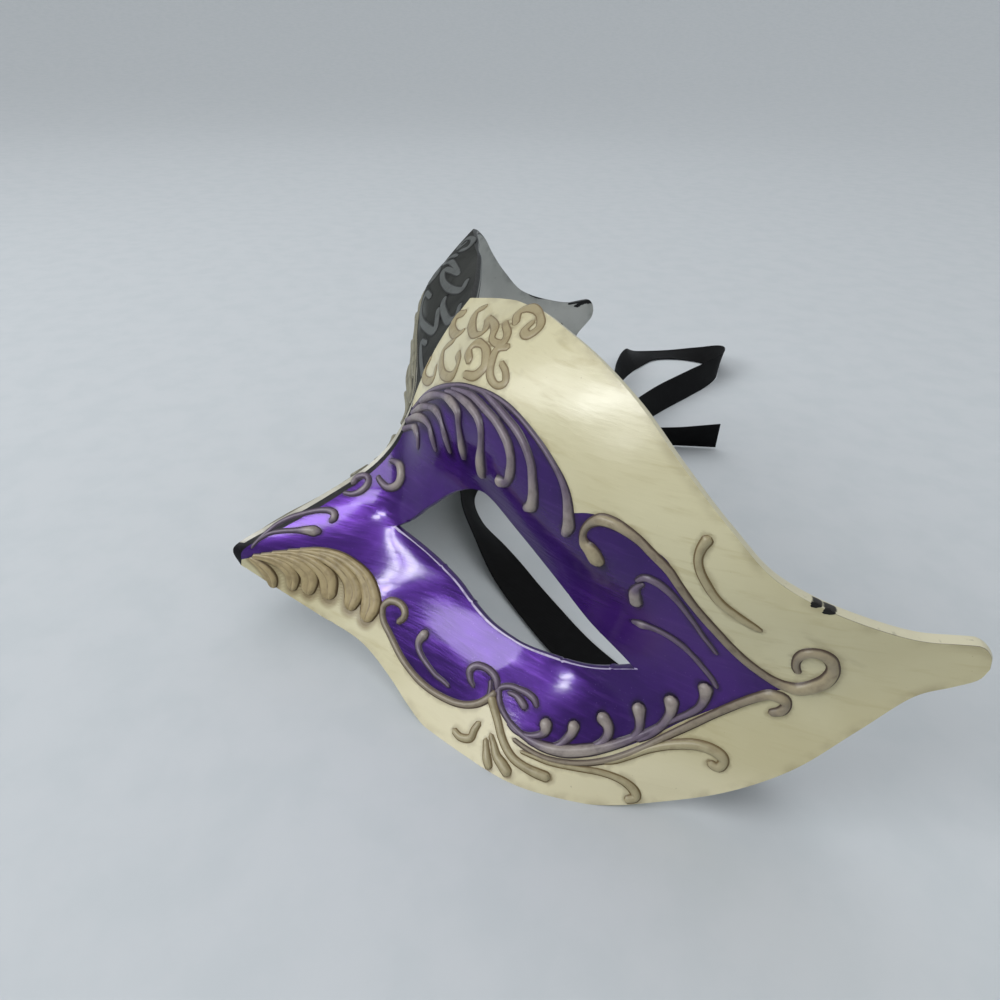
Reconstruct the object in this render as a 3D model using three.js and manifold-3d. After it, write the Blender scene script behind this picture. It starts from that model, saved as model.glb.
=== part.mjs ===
// A painted half mask with a beak nose, two almond eye openings, raised piping and two ribbon ties.
// Millimetres, +Z up. The mask faces -Y and stands on the lower edge of its cheeks, as it does when
// it is put down. Outlines are written for the wearer's left half (+X) and mirrored for the other.
import * as THREE from 'three';
import { mergeVertices } from 'three/addons/utils/BufferGeometryUtils.js';
import Module from 'manifold-3d';

const wasm = await Module();
wasm.setup();

// Driving dimensions
const MASK_WIDTH = 212;
const WALL = 2.2;
const PIPE_WIDTH = 2.1;
const PIPE_HEIGHT = 1.1;
const PIPE_ROOT = 0.7;
const RIBBON_WIDTH = 12;
const RIBBON_THICKNESS = 0.6;

// The outlines below are drawn for a mask 212 mm wide, and follow it to another width.
const SIZE = MASK_WIDTH / 212;

// How finely the faceted shell is divided
const RINGS = 5;
const SLOPE_STEP = 0.2;

// How far from the centre line, and from the table, the inside follows the face at right angles
const CENTRE_BLEND = 14;
const FOOT_BLEND = 8;
const LEAST_LEAN = 0.45;

// How a stroke of piping swells: its ball, the part beside the ball, and the middle of a plain one
const BALL_SHARE = 0.2;
const BALL_SWELL = 1.45;
const STEM_SWELL = 0.75;
const PLAIN_SWELL = 0.8;
const MIDDLE_SWELL = 0.4;
const HIGHEST_SWELL = 1.2;

// Outlines of the half, each point [across, back, up]
const RIDGE = [
  [0, -51, 22], [0, -42, 27.5], [0, -32.5, 32.5], [0, -23.5, 37.5], [0, -14.5, 43],
  [0, -7, 50.5], [0, -2, 59.5], [0, 2, 69], [0, 7, 78], [0, 13.5, 86.5],
];
const RIM = [
  [0, 13.5, 86.5], [12, 17, 89.5], [24, 19.5, 92], [36, 21, 93.5], [48, 22.5, 93.5], [60, 25.5, 91.5],
  [71, 29.5, 87], [80, 34, 80], [87.5, 40, 72], [93, 47.5, 64], [98, 58, 59], [102, 69, 56.1],
  [104.2, 75.2, 56.2], [105.2, 78, 56.1], [105.8, 79.8, 54.2], [106, 80.3, 51.8],
];
const LOWER_EDGE = [
  [0, -50, 16], [7, -40.5, 12], [17, -30, 9.5], [27, -20, 7.5], [39, -13, 4], [45.5, -9.9, 1.6],
  [52, -6.5, 0], [63, 2, 0], [73.5, 12.5, 0], [80, 25, 0], [84, 38.5, 2.5], [89.5, 50, 9.5],
  [94.5, 59, 19.5], [98.5, 66.5, 32.5], [101.8, 72.7, 43.4], [104.2, 77, 47], [105.6, 79.6, 49.4],
  [106, 80.3, 51.8],
];
const UPPER_LID = [
  [15.5, -8.5, 33.5], [21.5, -1.5, 41.5], [28.5, 5, 49.5], [38.5, 10, 54], [48.5, 15.5, 49.5],
  [57, 21.5, 43], [64.5, 27.5, 36], [72, 35, 29],
];
const LOWER_LID = [
  [72, 35, 29], [65, 28, 24.5], [57.5, 21, 22.5], [49.5, 14, 22], [40.5, 8.5, 23.5], [31.5, 4, 27],
  [23.5, -2, 30.5], [15.5, -8.5, 33.5],
];
const BROW_DOME = [
  [14, 9.5, 83], [14, 4, 75], [14, 1.2, 68], [13, -1.2, 61], [30, 9, 85], [30, 5, 77.5], [30, 2.8, 68],
  [29, 3, 61], [50, 10, 76], [51, 10, 66],
];
const CHEEK_SWELL = [[30, -5.4, 19], [42, 1, 16], [54, 11.7, 17]];

// Stations tie the outer edge to the eye opening: [place along the edge, place along the eye, steps].
// The edge counts beak front 0, ridge 1, rim 2 and lower edge 3. The eye counts upper lid 0, lower lid 1.
const STATIONS = [
  [0, -0.05, 1], [1, 0, 6], [1.45, 0.08, 3], [1.62, 0.2, 6], [2, 0.4, 5], [2.25, 0.52, 6],
  [2.5, 0.65, 5], [2.72, 0.8, 6], [3, 1, 4], [3.2, 1.12, 5], [3.45, 1.35, 5], [3.65, 1.6, 5],
  [3.85, 1.82, 4], [4, 1.95, 0],
];

// Raised piping, each stroke as points [across, up] on the face, thicker where it ends in a ball
const PIPING = [
  { path: [[1, 54.5], [6, 58], [13, 58.5], [14.5, 54.5]] },
  { path: [[1, 56], [9, 61.5], [19, 63.5], [24, 58.5]] },
  { path: [[1, 57.5], [13, 65.5], [26, 67.5], [30.5, 61]] },
  { path: [[1.5, 59.5], [16, 68.5], [31, 71], [36.5, 62.5]] },
  { path: [[2.5, 61.5], [21, 72], [36, 75], [43, 70], [43.5, 61]] },
  { path: [[5.5, 64.5], [25, 74], [41.5, 77], [50, 72.5], [52.5, 65], [49.5, 60.5]] },
  { path: [[14.5, 70], [34, 77.5], [47, 78], [56, 73.5], [59, 67.5], [58.5, 61]], ball: 'end' },
  { path: [[69, 64], [66, 71], [59.5, 76.5], [48.5, 79.8], [37, 78.8], [22.5, 73.8], [13, 69]] },
  { path: [[74.5, 66.5], [71.5, 65.5], [69.5, 62.5], [69.5, 59.5], [71.5, 57.5]], ball: 'end' },
  {
    path: [
      [68.5, 64], [71.5, 67], [77, 67.5], [82, 63.5], [84.5, 54], [87, 45.5], [90, 40.5], [94, 39.5],
      [96.7, 44], [96.2, 49.5], [93.5, 48.5], [93.3, 44.5], [94.7, 44.8],
    ],
  },
  {
    path: [
      [92, 38.8], [87.5, 33.3], [84, 26.5], [81, 20], [78, 11.5], [73, 7.3], [66, 7.3], [59, 9.6],
      [56, 12],
    ],
  },
  { path: [[88.5, 35.3], [91, 37.5], [92.7, 36.3], [92.3, 33.5]], ball: 'end' },
  { path: [[79, 15], [83, 19], [86.3, 19.3], [88, 16.5], [87, 14]], ball: 'end' },
  { path: [[67, 5.5], [72.5, 6.2], [77, 7], [80.3, 6.3], [82, 3.6]], ball: 'end' },
  { path: [[67, 11.3], [68.2, 9.5], [66.5, 7.6]], ball: 'start' },
  { path: [[70.3, 13], [71.5, 10], [70.3, 7.6]], ball: 'start' },
  { path: [[72.3, 16.3], [74.5, 12.8], [74.3, 8.6]], ball: 'start' },
  { path: [[75.7, 20.8], [77.2, 16.5], [77, 11.5]], ball: 'start' },
  { path: [[78.6, 25.3], [79.3, 21], [79, 16]], ball: 'start' },
  { path: [[83, 32.3], [82.2, 27], [80.6, 20.5]], ball: 'start' },
  { path: [[76, 50.5], [77, 55], [79.5, 57], [82.5, 52.5], [85, 42.5]], ball: 'start' },
  { path: [[73.5, 43], [77.5, 44.2], [80.5, 40], [84, 34]] },
  { path: [[86, 69], [85.3, 66], [85.6, 62.5], [87.2, 57], [90.5, 51.5]], ball: 'start' },
  { path: [[55.5, 12], [52.5, 14.2], [49.2, 13.5], [49.8, 10.8]] },
  { path: [[55.5, 12], [57.3, 14.5], [60.5, 15], [62, 12.8]], ball: 'end' },
  { path: [[56.5, 11], [60, 7.5], [65, 4.7], [70, 3.2]], ball: 'end' },
  { path: [[56, 10.5], [59, 6.2], [64, 3]], ball: 'end' },
  { path: [[22, 19], [28.5, 12.2], [37.5, 7], [47.5, 5], [53.5, 5.8], [55.7, 11]] },
  { path: [[24, 15.5], [25, 18], [28.3, 17.3], [29.8, 14]], ball: 'end' },
  { path: [[36, 14.3], [36.8, 11.8], [41.5, 9.5], [48, 8.6]], ball: 'start' },
  { path: [[2, 20], [7.5, 23.8], [13, 24], [19, 21.5], [23.5, 16.5]] },
  { path: [[3, 19.5], [6.5, 19], [9.7, 15.5], [8.5, 13]] },
  { path: [[3.8, 20.3], [9, 20.3], [13.3, 16.5], [13, 13]] },
  { path: [[4.8, 21.3], [11, 21.6], [16.8, 18], [17.5, 13.8]] },
  { path: [[6, 22.3], [13, 22.4], [20.5, 18], [22.5, 13.5]] },
  { path: [[4.5, 46.5], [9, 46], [10.3, 42.8], [7.3, 41]] },
  { path: [[2.5, 42.3], [5.8, 40.8], [6, 38]] },
  { path: [[1.6, 25], [2.3, 30.5], [4.7, 34.3], [7, 31.5]] },
  { path: [[2.4, 24], [4.5, 27.5], [7.2, 29]], ball: 'end' },
];

// Ribbon routes, each point [across, back, up] with the direction of the ribbon's width after it
const FLAT = [0, 1, 0];
const ON_EDGE = [0, 0, 1];
const ON_TABLE = 0.8;
const HALF_UP = RIBBON_WIDTH / 2 + 0.4;
const ALONG_WING = [0.4, 0.9, 0];
const LEFT_TIE = [
  [[94, 60, 55], ALONG_WING], [[93.2, 61, 49], ALONG_WING], [[91, 62.5, 40], ALONG_WING],
  [[87, 62, 24], ALONG_WING], [[79, 58, 10], FLAT], [[67, 51, 2.6], [-0.3, 0.95, 0]],
  [[51, 43.5, 1.2], [-0.35, 0.93, 0]], [[34, 36, ON_TABLE], [-0.3, 0.95, 0]],
  [[15, 30.5, ON_TABLE], [-0.2, 0.97, 0]], [[-2, 26.5, 1.2], [0, 0.95, -0.1]],
  [[-18, 23, 3.4], [0, 0.85, -0.45]], [[-34, 20, 5.2], [0, 0.6, -0.75]],
  [[-52, 22, HALF_UP], [0.1, 0.3, -0.95]], [[-68, 33, HALF_UP], [0, 0.1, -1]],
  [[-79, 50, HALF_UP], [-0.3, 0, -0.93]], [[-83, 70, 5.8], [-0.45, 0, -0.88]],
  [[-82.5, 92, 5.6], [-0.5, 0, -0.86]], [[-79, 112, 5.8], [-0.45, 0.05, -0.88]],
  [[-75.5, 129, HALF_UP], [-0.2, 0.1, -0.96]],
];
const RIGHT_TIE = [
  [[-94, 60, 55], [-0.4, 0.9, 0]], [[-93.2, 61, 49], [-0.4, 0.9, 0]],
  [[-90, 67, 37], [-0.2, 0.9, 0.3]], [[-93, 78, 24], [0, 0.6, 0.6]], [[-102, 87, 13.5], [0, 0.2, 0.9]],
  [[-116, 96, 8], ON_EDGE], [[-134, 105, HALF_UP], [-0.1, -0.1, 0.98]],
  [[-153, 114, HALF_UP], [-0.15, -0.15, 0.95]], [[-172, 127, 5.6], [-0.4, -0.35, 0.75]],
  [[-188, 142, 1.6], [-0.93, -0.25, 0.1]], [[-189, 156, 1.2], [-0.97, 0.15, 0.05]],
  [[-182, 169, 3], [-0.8, 0.45, 0.35]], [[-170, 174, 5.8], [-0.3, 0.5, 0.8]],
  [[-156, 169, HALF_UP], [-0.1, 0.2, 0.97]], [[-145, 157, 6], [-0.35, 0.1, 0.9]],
  [[-134, 142, 5.8], [-0.45, 0.1, 0.87]], [[-120, 123, 5.8], [-0.48, 0.1, 0.87]],
  [[-108, 109, 6], [-0.4, 0.1, 0.9]], [[-98, 98, HALF_UP], ON_EDGE],
];

// Skin of the half: its depth is a thin plate bent to pass through every outline point
function radial(dx, dz) {
  const squared = dx * dx + dz * dz;
  return squared > 0 ? 0.5 * squared * Math.log(squared) : 0;
}

function solve(matrix, right) {
  const size = right.length;
  for (let column = 0; column < size; column += 1) {
    let pivot = column;
    for (let row = column + 1; row < size; row += 1) {
      if (Math.abs(matrix[row][column]) > Math.abs(matrix[pivot][column])) {
        pivot = row;
      }
    }
    [matrix[column], matrix[pivot]] = [matrix[pivot], matrix[column]];
    [right[column], right[pivot]] = [right[pivot], right[column]];
    for (let row = column + 1; row < size; row += 1) {
      const factor = matrix[row][column] / matrix[column][column];
      for (let k = column; k < size; k += 1) {
        matrix[row][k] -= factor * matrix[column][k];
      }
      right[row] -= factor * right[column];
    }
  }
  for (let row = size - 1; row >= 0; row -= 1) {
    for (let k = row + 1; k < size; k += 1) {
      right[row] -= matrix[row][k] * right[k];
    }
    right[row] /= matrix[row][row];
  }
  return right;
}

function stretchSkin() {
  const pegs = [];
  const outlines = [...RIM, ...RIDGE, ...LOWER_EDGE, ...UPPER_LID, ...LOWER_LID];
  for (const point of [...outlines, ...BROW_DOME, ...CHEEK_SWELL]) {
    const known = pegs.some((peg) => Math.abs(peg[0] - point[0]) + Math.abs(peg[2] - point[2]) < 0.5);
    if (!known) {
      pegs.push(point);
    }
  }
  const rows = pegs.map((peg) => {
    const pulls = pegs.map((other) => radial(peg[0] - other[0], peg[2] - other[2]));
    return [...pulls, 1, peg[0], peg[2]];
  });
  rows.push([...pegs.map(() => 1), 0, 0, 0]);
  rows.push([...pegs.map((peg) => peg[0]), 0, 0, 0]);
  rows.push([...pegs.map((peg) => peg[2]), 0, 0, 0]);
  const weights = solve(rows, [...pegs.map((peg) => peg[1]), 0, 0, 0]);
  return (x, z) => {
    const count = pegs.length;
    let depth = weights[count] + weights[count + 1] * x + weights[count + 2] * z;
    pegs.forEach((peg, i) => {
      depth += weights[i] * radial(x - peg[0], z - peg[2]);
    });
    return depth;
  };
}

const skinDepth = stretchSkin();

function facePoint(x, z) {
  return new THREE.Vector3(x, skinDepth(x, z), z);
}

function faceNormal(x, z) {
  const across = (skinDepth(x + SLOPE_STEP, z) - skinDepth(x - SLOPE_STEP, z)) / (2 * SLOPE_STEP);
  const up = (skinDepth(x, z + SLOPE_STEP) - skinDepth(x, z - SLOPE_STEP)) / (2 * SLOPE_STEP);
  return new THREE.Vector3(across, -1, up).normalize();
}

// The inside follows the face one wall behind it. At the centre line it moves straight back, so that
// the halves meet, and near the table it stays level, so that the cheeks stand on a flat cut.
function innerPoint(x, z) {
  const normal = faceNormal(x, z);
  const side = THREE.MathUtils.smoothstep(x, 0, CENTRE_BLEND);
  const level = normal.z > 0 ? THREE.MathUtils.smoothstep(z, 0, FOOT_BLEND) : 1;
  const inward = new THREE.Vector3(-normal.x * side, -normal.y, -normal.z * level).normalize();
  const lean = Math.max(-inward.dot(normal), LEAST_LEAN);
  return facePoint(x, z).addScaledVector(inward, WALL / lean);
}

// Loops of the half: the outer edge and the eye opening
function splineThrough(points) {
  const corners = points.map(([x, y, z]) => new THREE.Vector3(x, y, z));
  return new THREE.CatmullRomCurve3(corners, false, 'centripetal');
}

function placeOn(curves, place) {
  const wrapped = (place + curves.length) % curves.length;
  const index = Math.floor(wrapped);
  const point = curves[index].getPointAt(wrapped - index);
  return [point.x, Math.max(point.z, 0)];
}

function matchedLoops() {
  const edge = [
    splineThrough([LOWER_EDGE[0], RIDGE[0]]),
    splineThrough(RIDGE),
    splineThrough(RIM),
    splineThrough([...LOWER_EDGE].reverse()),
  ];
  const eye = [splineThrough(UPPER_LID), splineThrough(LOWER_LID)];
  const pairs = [];
  for (let s = 0; s < STATIONS.length - 1; s += 1) {
    const [edgeFrom, eyeFrom, steps] = STATIONS[s];
    const [edgeTo, eyeTo] = STATIONS[s + 1];
    for (let k = 0; k < steps; k += 1) {
      const share = k / steps;
      pairs.push({
        edge: placeOn(edge, THREE.MathUtils.lerp(edgeFrom, edgeTo, share)),
        eye: placeOn(eye, THREE.MathUtils.lerp(eyeFrom, eyeTo, share)),
      });
    }
  }
  return pairs;
}

// Shell of one half as quads between the face and the inside, closed at the eye and at the rim
function halfShellTriangles(side) {
  const pairs = matchedLoops();
  const grid = (surface) => pairs.map(({ eye, edge }) => {
    const column = [];
    for (let ring = 0; ring <= RINGS; ring += 1) {
      const share = ring / RINGS;
      const x = THREE.MathUtils.lerp(eye[0], edge[0], share);
      const z = THREE.MathUtils.lerp(eye[1], edge[1], share);
      const point = surface(x, z);
      point.z = Math.max(point.z, 0);
      column.push(new THREE.Vector3(point.x * side, point.y, point.z));
    }
    return column;
  });
  const face = grid(facePoint);
  const inside = grid(innerPoint);
  const triangles = [];
  const quad = (a, b, c, d) => {
    const corners = side > 0 ? [a, c, b, a, d, c] : [a, b, c, a, c, d];
    triangles.push(...corners);
  };
  for (let i = 0; i < pairs.length; i += 1) {
    const next = (i + 1) % pairs.length;
    for (let ring = 0; ring < RINGS; ring += 1) {
      quad(face[i][ring], face[i][ring + 1], face[next][ring + 1], face[next][ring]);
      quad(inside[i][ring], inside[next][ring], inside[next][ring + 1], inside[i][ring + 1]);
    }
    quad(face[i][0], face[next][0], inside[next][0], inside[i][0]);
    const onCentre = pairs[i].edge[0] === 0 && pairs[next].edge[0] === 0;
    if (!onCentre) {
      quad(face[i][RINGS], inside[i][RINGS], inside[next][RINGS], face[next][RINGS]);
    }
  }
  return triangles;
}

function geometryFrom(corners) {
  const geometry = new THREE.BufferGeometry().setFromPoints(corners);
  return mergeVertices(geometry, 1e-4);
}

// Solids for joining
function solidFrom(geometry) {
  const merged = mergeVertices(geometry, 1e-4);
  return new wasm.Manifold(new wasm.Mesh({
    numProp: 3,
    vertProperties: Float32Array.from(merged.attributes.position.array),
    triVerts: Uint32Array.from(merged.index.array),
  }));
}

function geometryOf(solid) {
  const mesh = solid.getMesh();
  const geometry = new THREE.BufferGeometry();
  geometry.setAttribute('position', new THREE.BufferAttribute(Float32Array.from(mesh.vertProperties), 3));
  geometry.setIndex(new THREE.BufferAttribute(Uint32Array.from(mesh.triVerts), 1));
  return geometry.toNonIndexed();
}

// A closed sweep: each station is a ring of corners, and the first and last are capped
function sweptTriangles(rings) {
  const triangles = [];
  const sides = rings[0].length;
  for (let i = 0; i < rings.length - 1; i += 1) {
    for (let k = 0; k < sides; k += 1) {
      const next = (k + 1) % sides;
      triangles.push(rings[i][k], rings[i + 1][k], rings[i + 1][next]);
      triangles.push(rings[i][k], rings[i + 1][next], rings[i][next]);
    }
  }
  const first = rings[0];
  const last = rings[rings.length - 1];
  for (let k = 1; k < sides - 1; k += 1) {
    triangles.push(first[0], first[k], first[k + 1]);
    triangles.push(last[0], last[k + 1], last[k]);
  }
  return triangles;
}

// One stroke of piping laid on the face, swelling into a ball where it has one
function pipeSwell(share, ball) {
  if (!ball) {
    return PLAIN_SWELL + MIDDLE_SWELL * Math.sin(Math.PI * share);
  }
  const fromBall = ball === 'start' ? share : 1 - share;
  return fromBall < BALL_SHARE ? BALL_SWELL : STEM_SWELL;
}

function pipeSolid({ path, ball }, side) {
  const steps = path.length > 4 ? path.length : path.length - 1;
  const route = splineThrough(path.map(([x, z]) => [x, 0, z]));
  const places = route.getSpacedPoints(steps);
  const centres = places.map((place) => facePoint(place.x, place.z));
  const rings = centres.map((centre, i) => {
    const before = centres[Math.max(i - 1, 0)];
    const after = centres[Math.min(i + 1, centres.length - 1)];
    const along = after.clone().sub(before).normalize();
    const normal = faceNormal(places[i].x, places[i].z);
    const across = new THREE.Vector3().crossVectors(along, normal).normalize();
    const swell = pipeSwell(i / steps, ball);
    const corner = (w, h) => {
      const point = centre.clone().addScaledVector(across, w * swell).addScaledVector(normal, h);
      point.z = Math.max(point.z, 0);
      return new THREE.Vector3(point.x * side, point.y, point.z);
    };
    const half = PIPE_WIDTH / 2;
    const top = PIPE_HEIGHT * Math.min(swell, HIGHEST_SWELL);
    const ring = [corner(-half, -PIPE_ROOT), corner(half, -PIPE_ROOT), corner(0, top)];
    return side > 0 ? ring : ring.reverse();
  });
  return solidFrom(geometryFrom(sweptTriangles(rings)));
}

function buildMask() {
  const shell = solidFrom(geometryFrom([...halfShellTriangles(1), ...halfShellTriangles(-1)]));
  const strokes = [];
  for (const stroke of PIPING) {
    strokes.push(pipeSolid(stroke, 1), pipeSolid(stroke, -1));
  }
  return geometryOf(strokes.reduce((joined, stroke) => joined.add(stroke), shell));
}

// A ribbon: a flat band along its route, turned to the width direction given at each point
function buildRibbon(route) {
  const centreLine = splineThrough(route.map(([point]) => point));
  const widthLine = splineThrough(route.map(([, width]) => width));
  const steps = Math.round(route.length * 1.6);
  const rings = [];
  for (let i = 0; i <= steps; i += 1) {
    const share = i / steps;
    const centre = centreLine.getPoint(share);
    const along = centreLine.getTangent(share);
    const width = widthLine.getPoint(share);
    width.addScaledVector(along, -width.dot(along)).normalize();
    const normal = new THREE.Vector3().crossVectors(along, width);
    const corner = (w, h) => centre.clone()
      .addScaledVector(width, w * RIBBON_WIDTH / 2)
      .addScaledVector(normal, h * RIBBON_THICKNESS / 2);
    rings.push([corner(-1, -1), corner(-1, 1), corner(1, 1), corner(1, -1)]);
  }
  return geometryFrom(sweptTriangles(rings));
}

// Scene graph, with the origin under the middle of the whole object
const papier = new THREE.MeshStandardMaterial({ color: 0xd6cdaa, roughness: 0.35, metalness: 0.1 });
const satin = new THREE.MeshStandardMaterial({ color: 0x08080a, roughness: 0.45, metalness: 0 });

function namedMesh(name, geometry, material) {
  geometry.computeVertexNormals();
  const mesh = new THREE.Mesh(geometry, material);
  mesh.name = name;
  return mesh;
}

const pieces = new THREE.Group();
pieces.add(namedMesh('mask_shell', buildMask(), papier));
pieces.add(namedMesh('ribbon_left', buildRibbon(LEFT_TIE), satin));
pieces.add(namedMesh('ribbon_right', buildRibbon(RIGHT_TIE), satin.clone()));
pieces.scale.setScalar(SIZE);

const box = new THREE.Box3().setFromObject(pieces);
const middle = box.getCenter(new THREE.Vector3());
pieces.position.set(-middle.x, -middle.y, -box.min.z);

const mask = new THREE.Group();
mask.add(pieces);

export default mask;
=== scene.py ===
"""A painted masquerade half mask resting on a pale table, with two black satin ribbon ties.

The drawings below are in millimetres in the mask's own frame: x across from the centre line,
y back from the wearer's forehead towards the ears, z up from the table. Outlines are drawn for the
wearer's left half and mirrored. The mask stands on the lower edges of its cheeks.
"""

import math

import bmesh
import bpy
import numpy as np
from mathutils import Matrix, Vector


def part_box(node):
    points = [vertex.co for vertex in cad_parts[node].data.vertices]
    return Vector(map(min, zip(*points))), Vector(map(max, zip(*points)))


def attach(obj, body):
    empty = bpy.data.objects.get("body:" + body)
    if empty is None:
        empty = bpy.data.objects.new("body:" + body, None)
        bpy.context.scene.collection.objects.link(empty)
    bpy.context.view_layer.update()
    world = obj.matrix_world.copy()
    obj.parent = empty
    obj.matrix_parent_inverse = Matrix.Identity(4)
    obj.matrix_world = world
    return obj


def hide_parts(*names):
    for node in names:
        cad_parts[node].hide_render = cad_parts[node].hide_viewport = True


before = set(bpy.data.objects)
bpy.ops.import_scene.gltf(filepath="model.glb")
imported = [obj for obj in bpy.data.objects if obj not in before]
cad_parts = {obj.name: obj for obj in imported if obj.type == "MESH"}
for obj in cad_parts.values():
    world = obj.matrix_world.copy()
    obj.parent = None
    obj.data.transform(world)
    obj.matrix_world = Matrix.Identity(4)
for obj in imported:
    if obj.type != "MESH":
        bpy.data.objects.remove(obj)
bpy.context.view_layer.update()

# Units and the place of the drawings in the row frame
MM = 0.001
BEAK_REACH = 51.0
shell_low, shell_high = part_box("mask_shell")
CENTRE_X = (shell_low[0] + shell_high[0]) / 2
CENTRE_Y = shell_low[1] + BEAK_REACH * MM

# Sizes of the mask, and the heights where its paints change
WALL = 2.2
STROKE_RISE = 0.46
STROKE_HIGHEST = 1.05
CURL_RISE = 0.1
STROKE_SUNK = 0.35
STROKE_SKIRT = 0.28
STROKE_FILM = 0.05
STROKE_BLUNTNESS = 0.03
STROKE_FROM_CENTRE = 0.06
STROKE_FROM_TABLE = 0.02
FAN_SHARE = 1.2
FAN_RISE = 0.3
RIBBON_WIDTH = 12.0
RIBBON_THICKNESS = 0.45
CENTRE_BLEND = 14.0
FOOT_BLEND = 8.0
LEAST_LEAN = 0.45
EDGE_ROUNDING = 0.38
EDGE_FULLNESS = 0.6
CHIP_FILM = 0.05
CHIP_SUNK = 0.3
RIDGE_LINE_TOP = 62
BLACK_TIP_TOP = 23
LAPS_START = 52
LID_SLACK = 0.2

# How finely the surfaces are divided, how many rings wide the painted lines are, and tolerances
CURVE_SPAN = 24
SLOPE_STEP = 0.2
PEG_GAP = 0.5
NEAR_RINGS = (40, 30)
FAR_RINGS = (26, 22)
INSIDE_RINGS = 18
EDGE_ROWS = 4
LID_LINE_RINGS = 1
RIDGE_LINE_RINGS = 17
STROKE_STEP = 0.42
STROKE_LEAST_STEPS = 8
RIBBON_STEP = 1.1
RIBBON_SPAN = 14
CHIP_SIDES = 14
NOSE_STEPS = 80
RIDGE_STEPS = 800
SNAP = 0.4
ON_CENTRE = 1e-6
BATCH = 2000

# An edge that turns by more than this stays sharp, in degrees
SHELL_CREASE = 32
RELIEF_CREASE = 70
RIBBON_CREASE = 50

# What one unit of the stored paint numbers stands for, in millimetres
GAP_UNIT = 10
RIM_UNIT = 50
ACROSS_UNIT = 100
LENGTH_UNIT = 10

# Zones of the face: where each starts and is full, in metres up and in ACROSS_UNIT across
# The first zone is a painted pool of light low on the cheek, where light from the table falls.
LIT_CHEEK_ZONE = ((0.02, 0.008), (0.36, 0.46))
UNDER_NOSE = ((0.027, 0.023), (0.3, 0.26))
# The last zone is darkened among the comb strokes: part antiquing wash, part painted shade.
BEHIND_COMB = ((0.052, 0.062), (0.5, 0.3))

# Roughness of every noise in the paints
NOISE_ROUGHNESS = 0.55

# Turn of the wave of the satin's ribs for each LENGTH_UNIT, in radians
RIB_TURN = 110.0

# Table that sweeps up far away, each point (radius, height) in metres
FLOOR_PROFILE = [
    (0.8, 0), (1.6, 0.03), (2.4, 0.1), (3.2, 0.25), (4.0, 0.5), (4.7, 0.95), (5.2, 1.7), (5.4, 2.8),
]
FLOOR_SIDES = 64

# Soft lights, each (name, azimuth, elevation, distance, size, power), in degrees, metres and watts
SOFT_LIGHTS = [
    ("daylight", 8, 34, 1.2, (0.7, 0.5), 5.4),
    ("ceiling", -88, 52, 1.4, (1.0, 1.0), 1.7),
]
# Windows and panes that only reflections show: a window is (name, azimuth, elevation, size,
# radiance) and a pane has its power in the last place
WINDOWS = [
    ("window", 3, 31, (0.19, 0.15), 38),
    ("window_side", 21, 38.5, (0.27, 0.16), 36),
    ("window_left", -21, 27, (0.32, 0.3), 15),
]
PANES = [
    ("pane_left", 22.4, 20, (0.022, 0.075), 0.46),
    ("pane_right", 19.6, 16.5, (0.022, 0.13), 0.7),
]
PANE_DISTANCE = 1.1
LIGHTS_AIM = (20, 15, 45)
LIGHT_COLOUR = (0.96, 0.98, 1.0)
SKY_COLOUR = (0.955, 0.975, 0.995, 1)
SKY_STRENGTH = 0.77
# Sizes of the lights that make one bright window, as shares of its size
WINDOW_FADE = (0.6, 0.85, 1.1, 1.4)

# Camera, fitted to the photograph's outlines: its place in the drawings, turns in degrees, and
# lens, sensor and clip distances
CAMERA_SPOT = (179.3, -17.43, 134.5)
CAMERA_AZIMUTH = 77.63
CAMERA_ELEVATION = 29.8
CAMERA_ROLL = 1.2
CAMERA_LENS = 27.04
CAMERA_SENSOR = 36
CAMERA_CLIP = (0.005, 50)

# Outlines of the half, each point (across, back, up), and three places (across, up) on its middle
NOSE_FOOT = (0, 16)
NOSE_TIP = (0, 22)
BROW_NOTCH = (0, 86.5)
RIDGE = [
    (0, -51, 22), (0, -42, 27.5), (0, -32.5, 32.5), (0, -23.5, 37.5), (0, -14.5, 43),
    (0, -7, 50.5), (0, -2, 59.5), (0, 2, 69), (0, 7, 78), (0, 13.5, 86.5),
]
RIM = [
    (0, 13.5, 86.5), (12, 17, 89.5), (24, 19.5, 92), (36, 21, 93.5), (48, 22.5, 93.5),
    (60, 25.5, 91.5), (71, 29.5, 87), (80, 34, 80), (87.5, 40, 72), (93, 47.5, 64), (98, 58, 59),
    (102, 69, 56.1), (104.2, 75.2, 56.2), (105.2, 78, 56.1), (105.8, 79.8, 54.2), (106, 80.3, 51.8),
]
LOWER_EDGE = [
    (0, -50, 16), (7, -40.5, 12), (17, -30, 9.5), (27, -20, 7.5), (39, -13, 4), (45.5, -9.9, 1.6),
    (52, -6.5, 0), (63, 2, 0), (73.5, 12.5, 0), (80, 25, 0), (84, 38.5, 2.5), (89.5, 50, 9.5),
    (94.5, 59, 19.5), (98.5, 66.5, 32.5), (101.8, 72.7, 43.4), (104.2, 77, 47), (105.6, 79.6, 49.4),
    (106, 80.3, 51.8),
]
UPPER_LID = [
    (15.5, -8.5, 33.5), (21.5, -1.5, 41.5), (28.5, 5, 49.5), (38.5, 10, 54), (48.5, 15.5, 49.5),
    (57, 21.5, 43), (64.5, 27.5, 36), (72, 35, 29),
]
LOWER_LID = [
    (72, 35, 29), (65, 28, 24.5), (57.5, 21, 22.5), (49.5, 14, 22), (40.5, 8.5, 23.5),
    (31.5, 4, 27), (23.5, -2, 30.5), (15.5, -8.5, 33.5),
]
BROW_DOME = [
    (14, 9.5, 83), (14, 4, 75), (14, 1.2, 68), (13, -1.2, 61), (30, 9, 85), (30, 5, 77.5),
    (30, 2.8, 68), (29, 3, 61), (50, 10, 76), (51, 10, 66),
]
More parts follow.
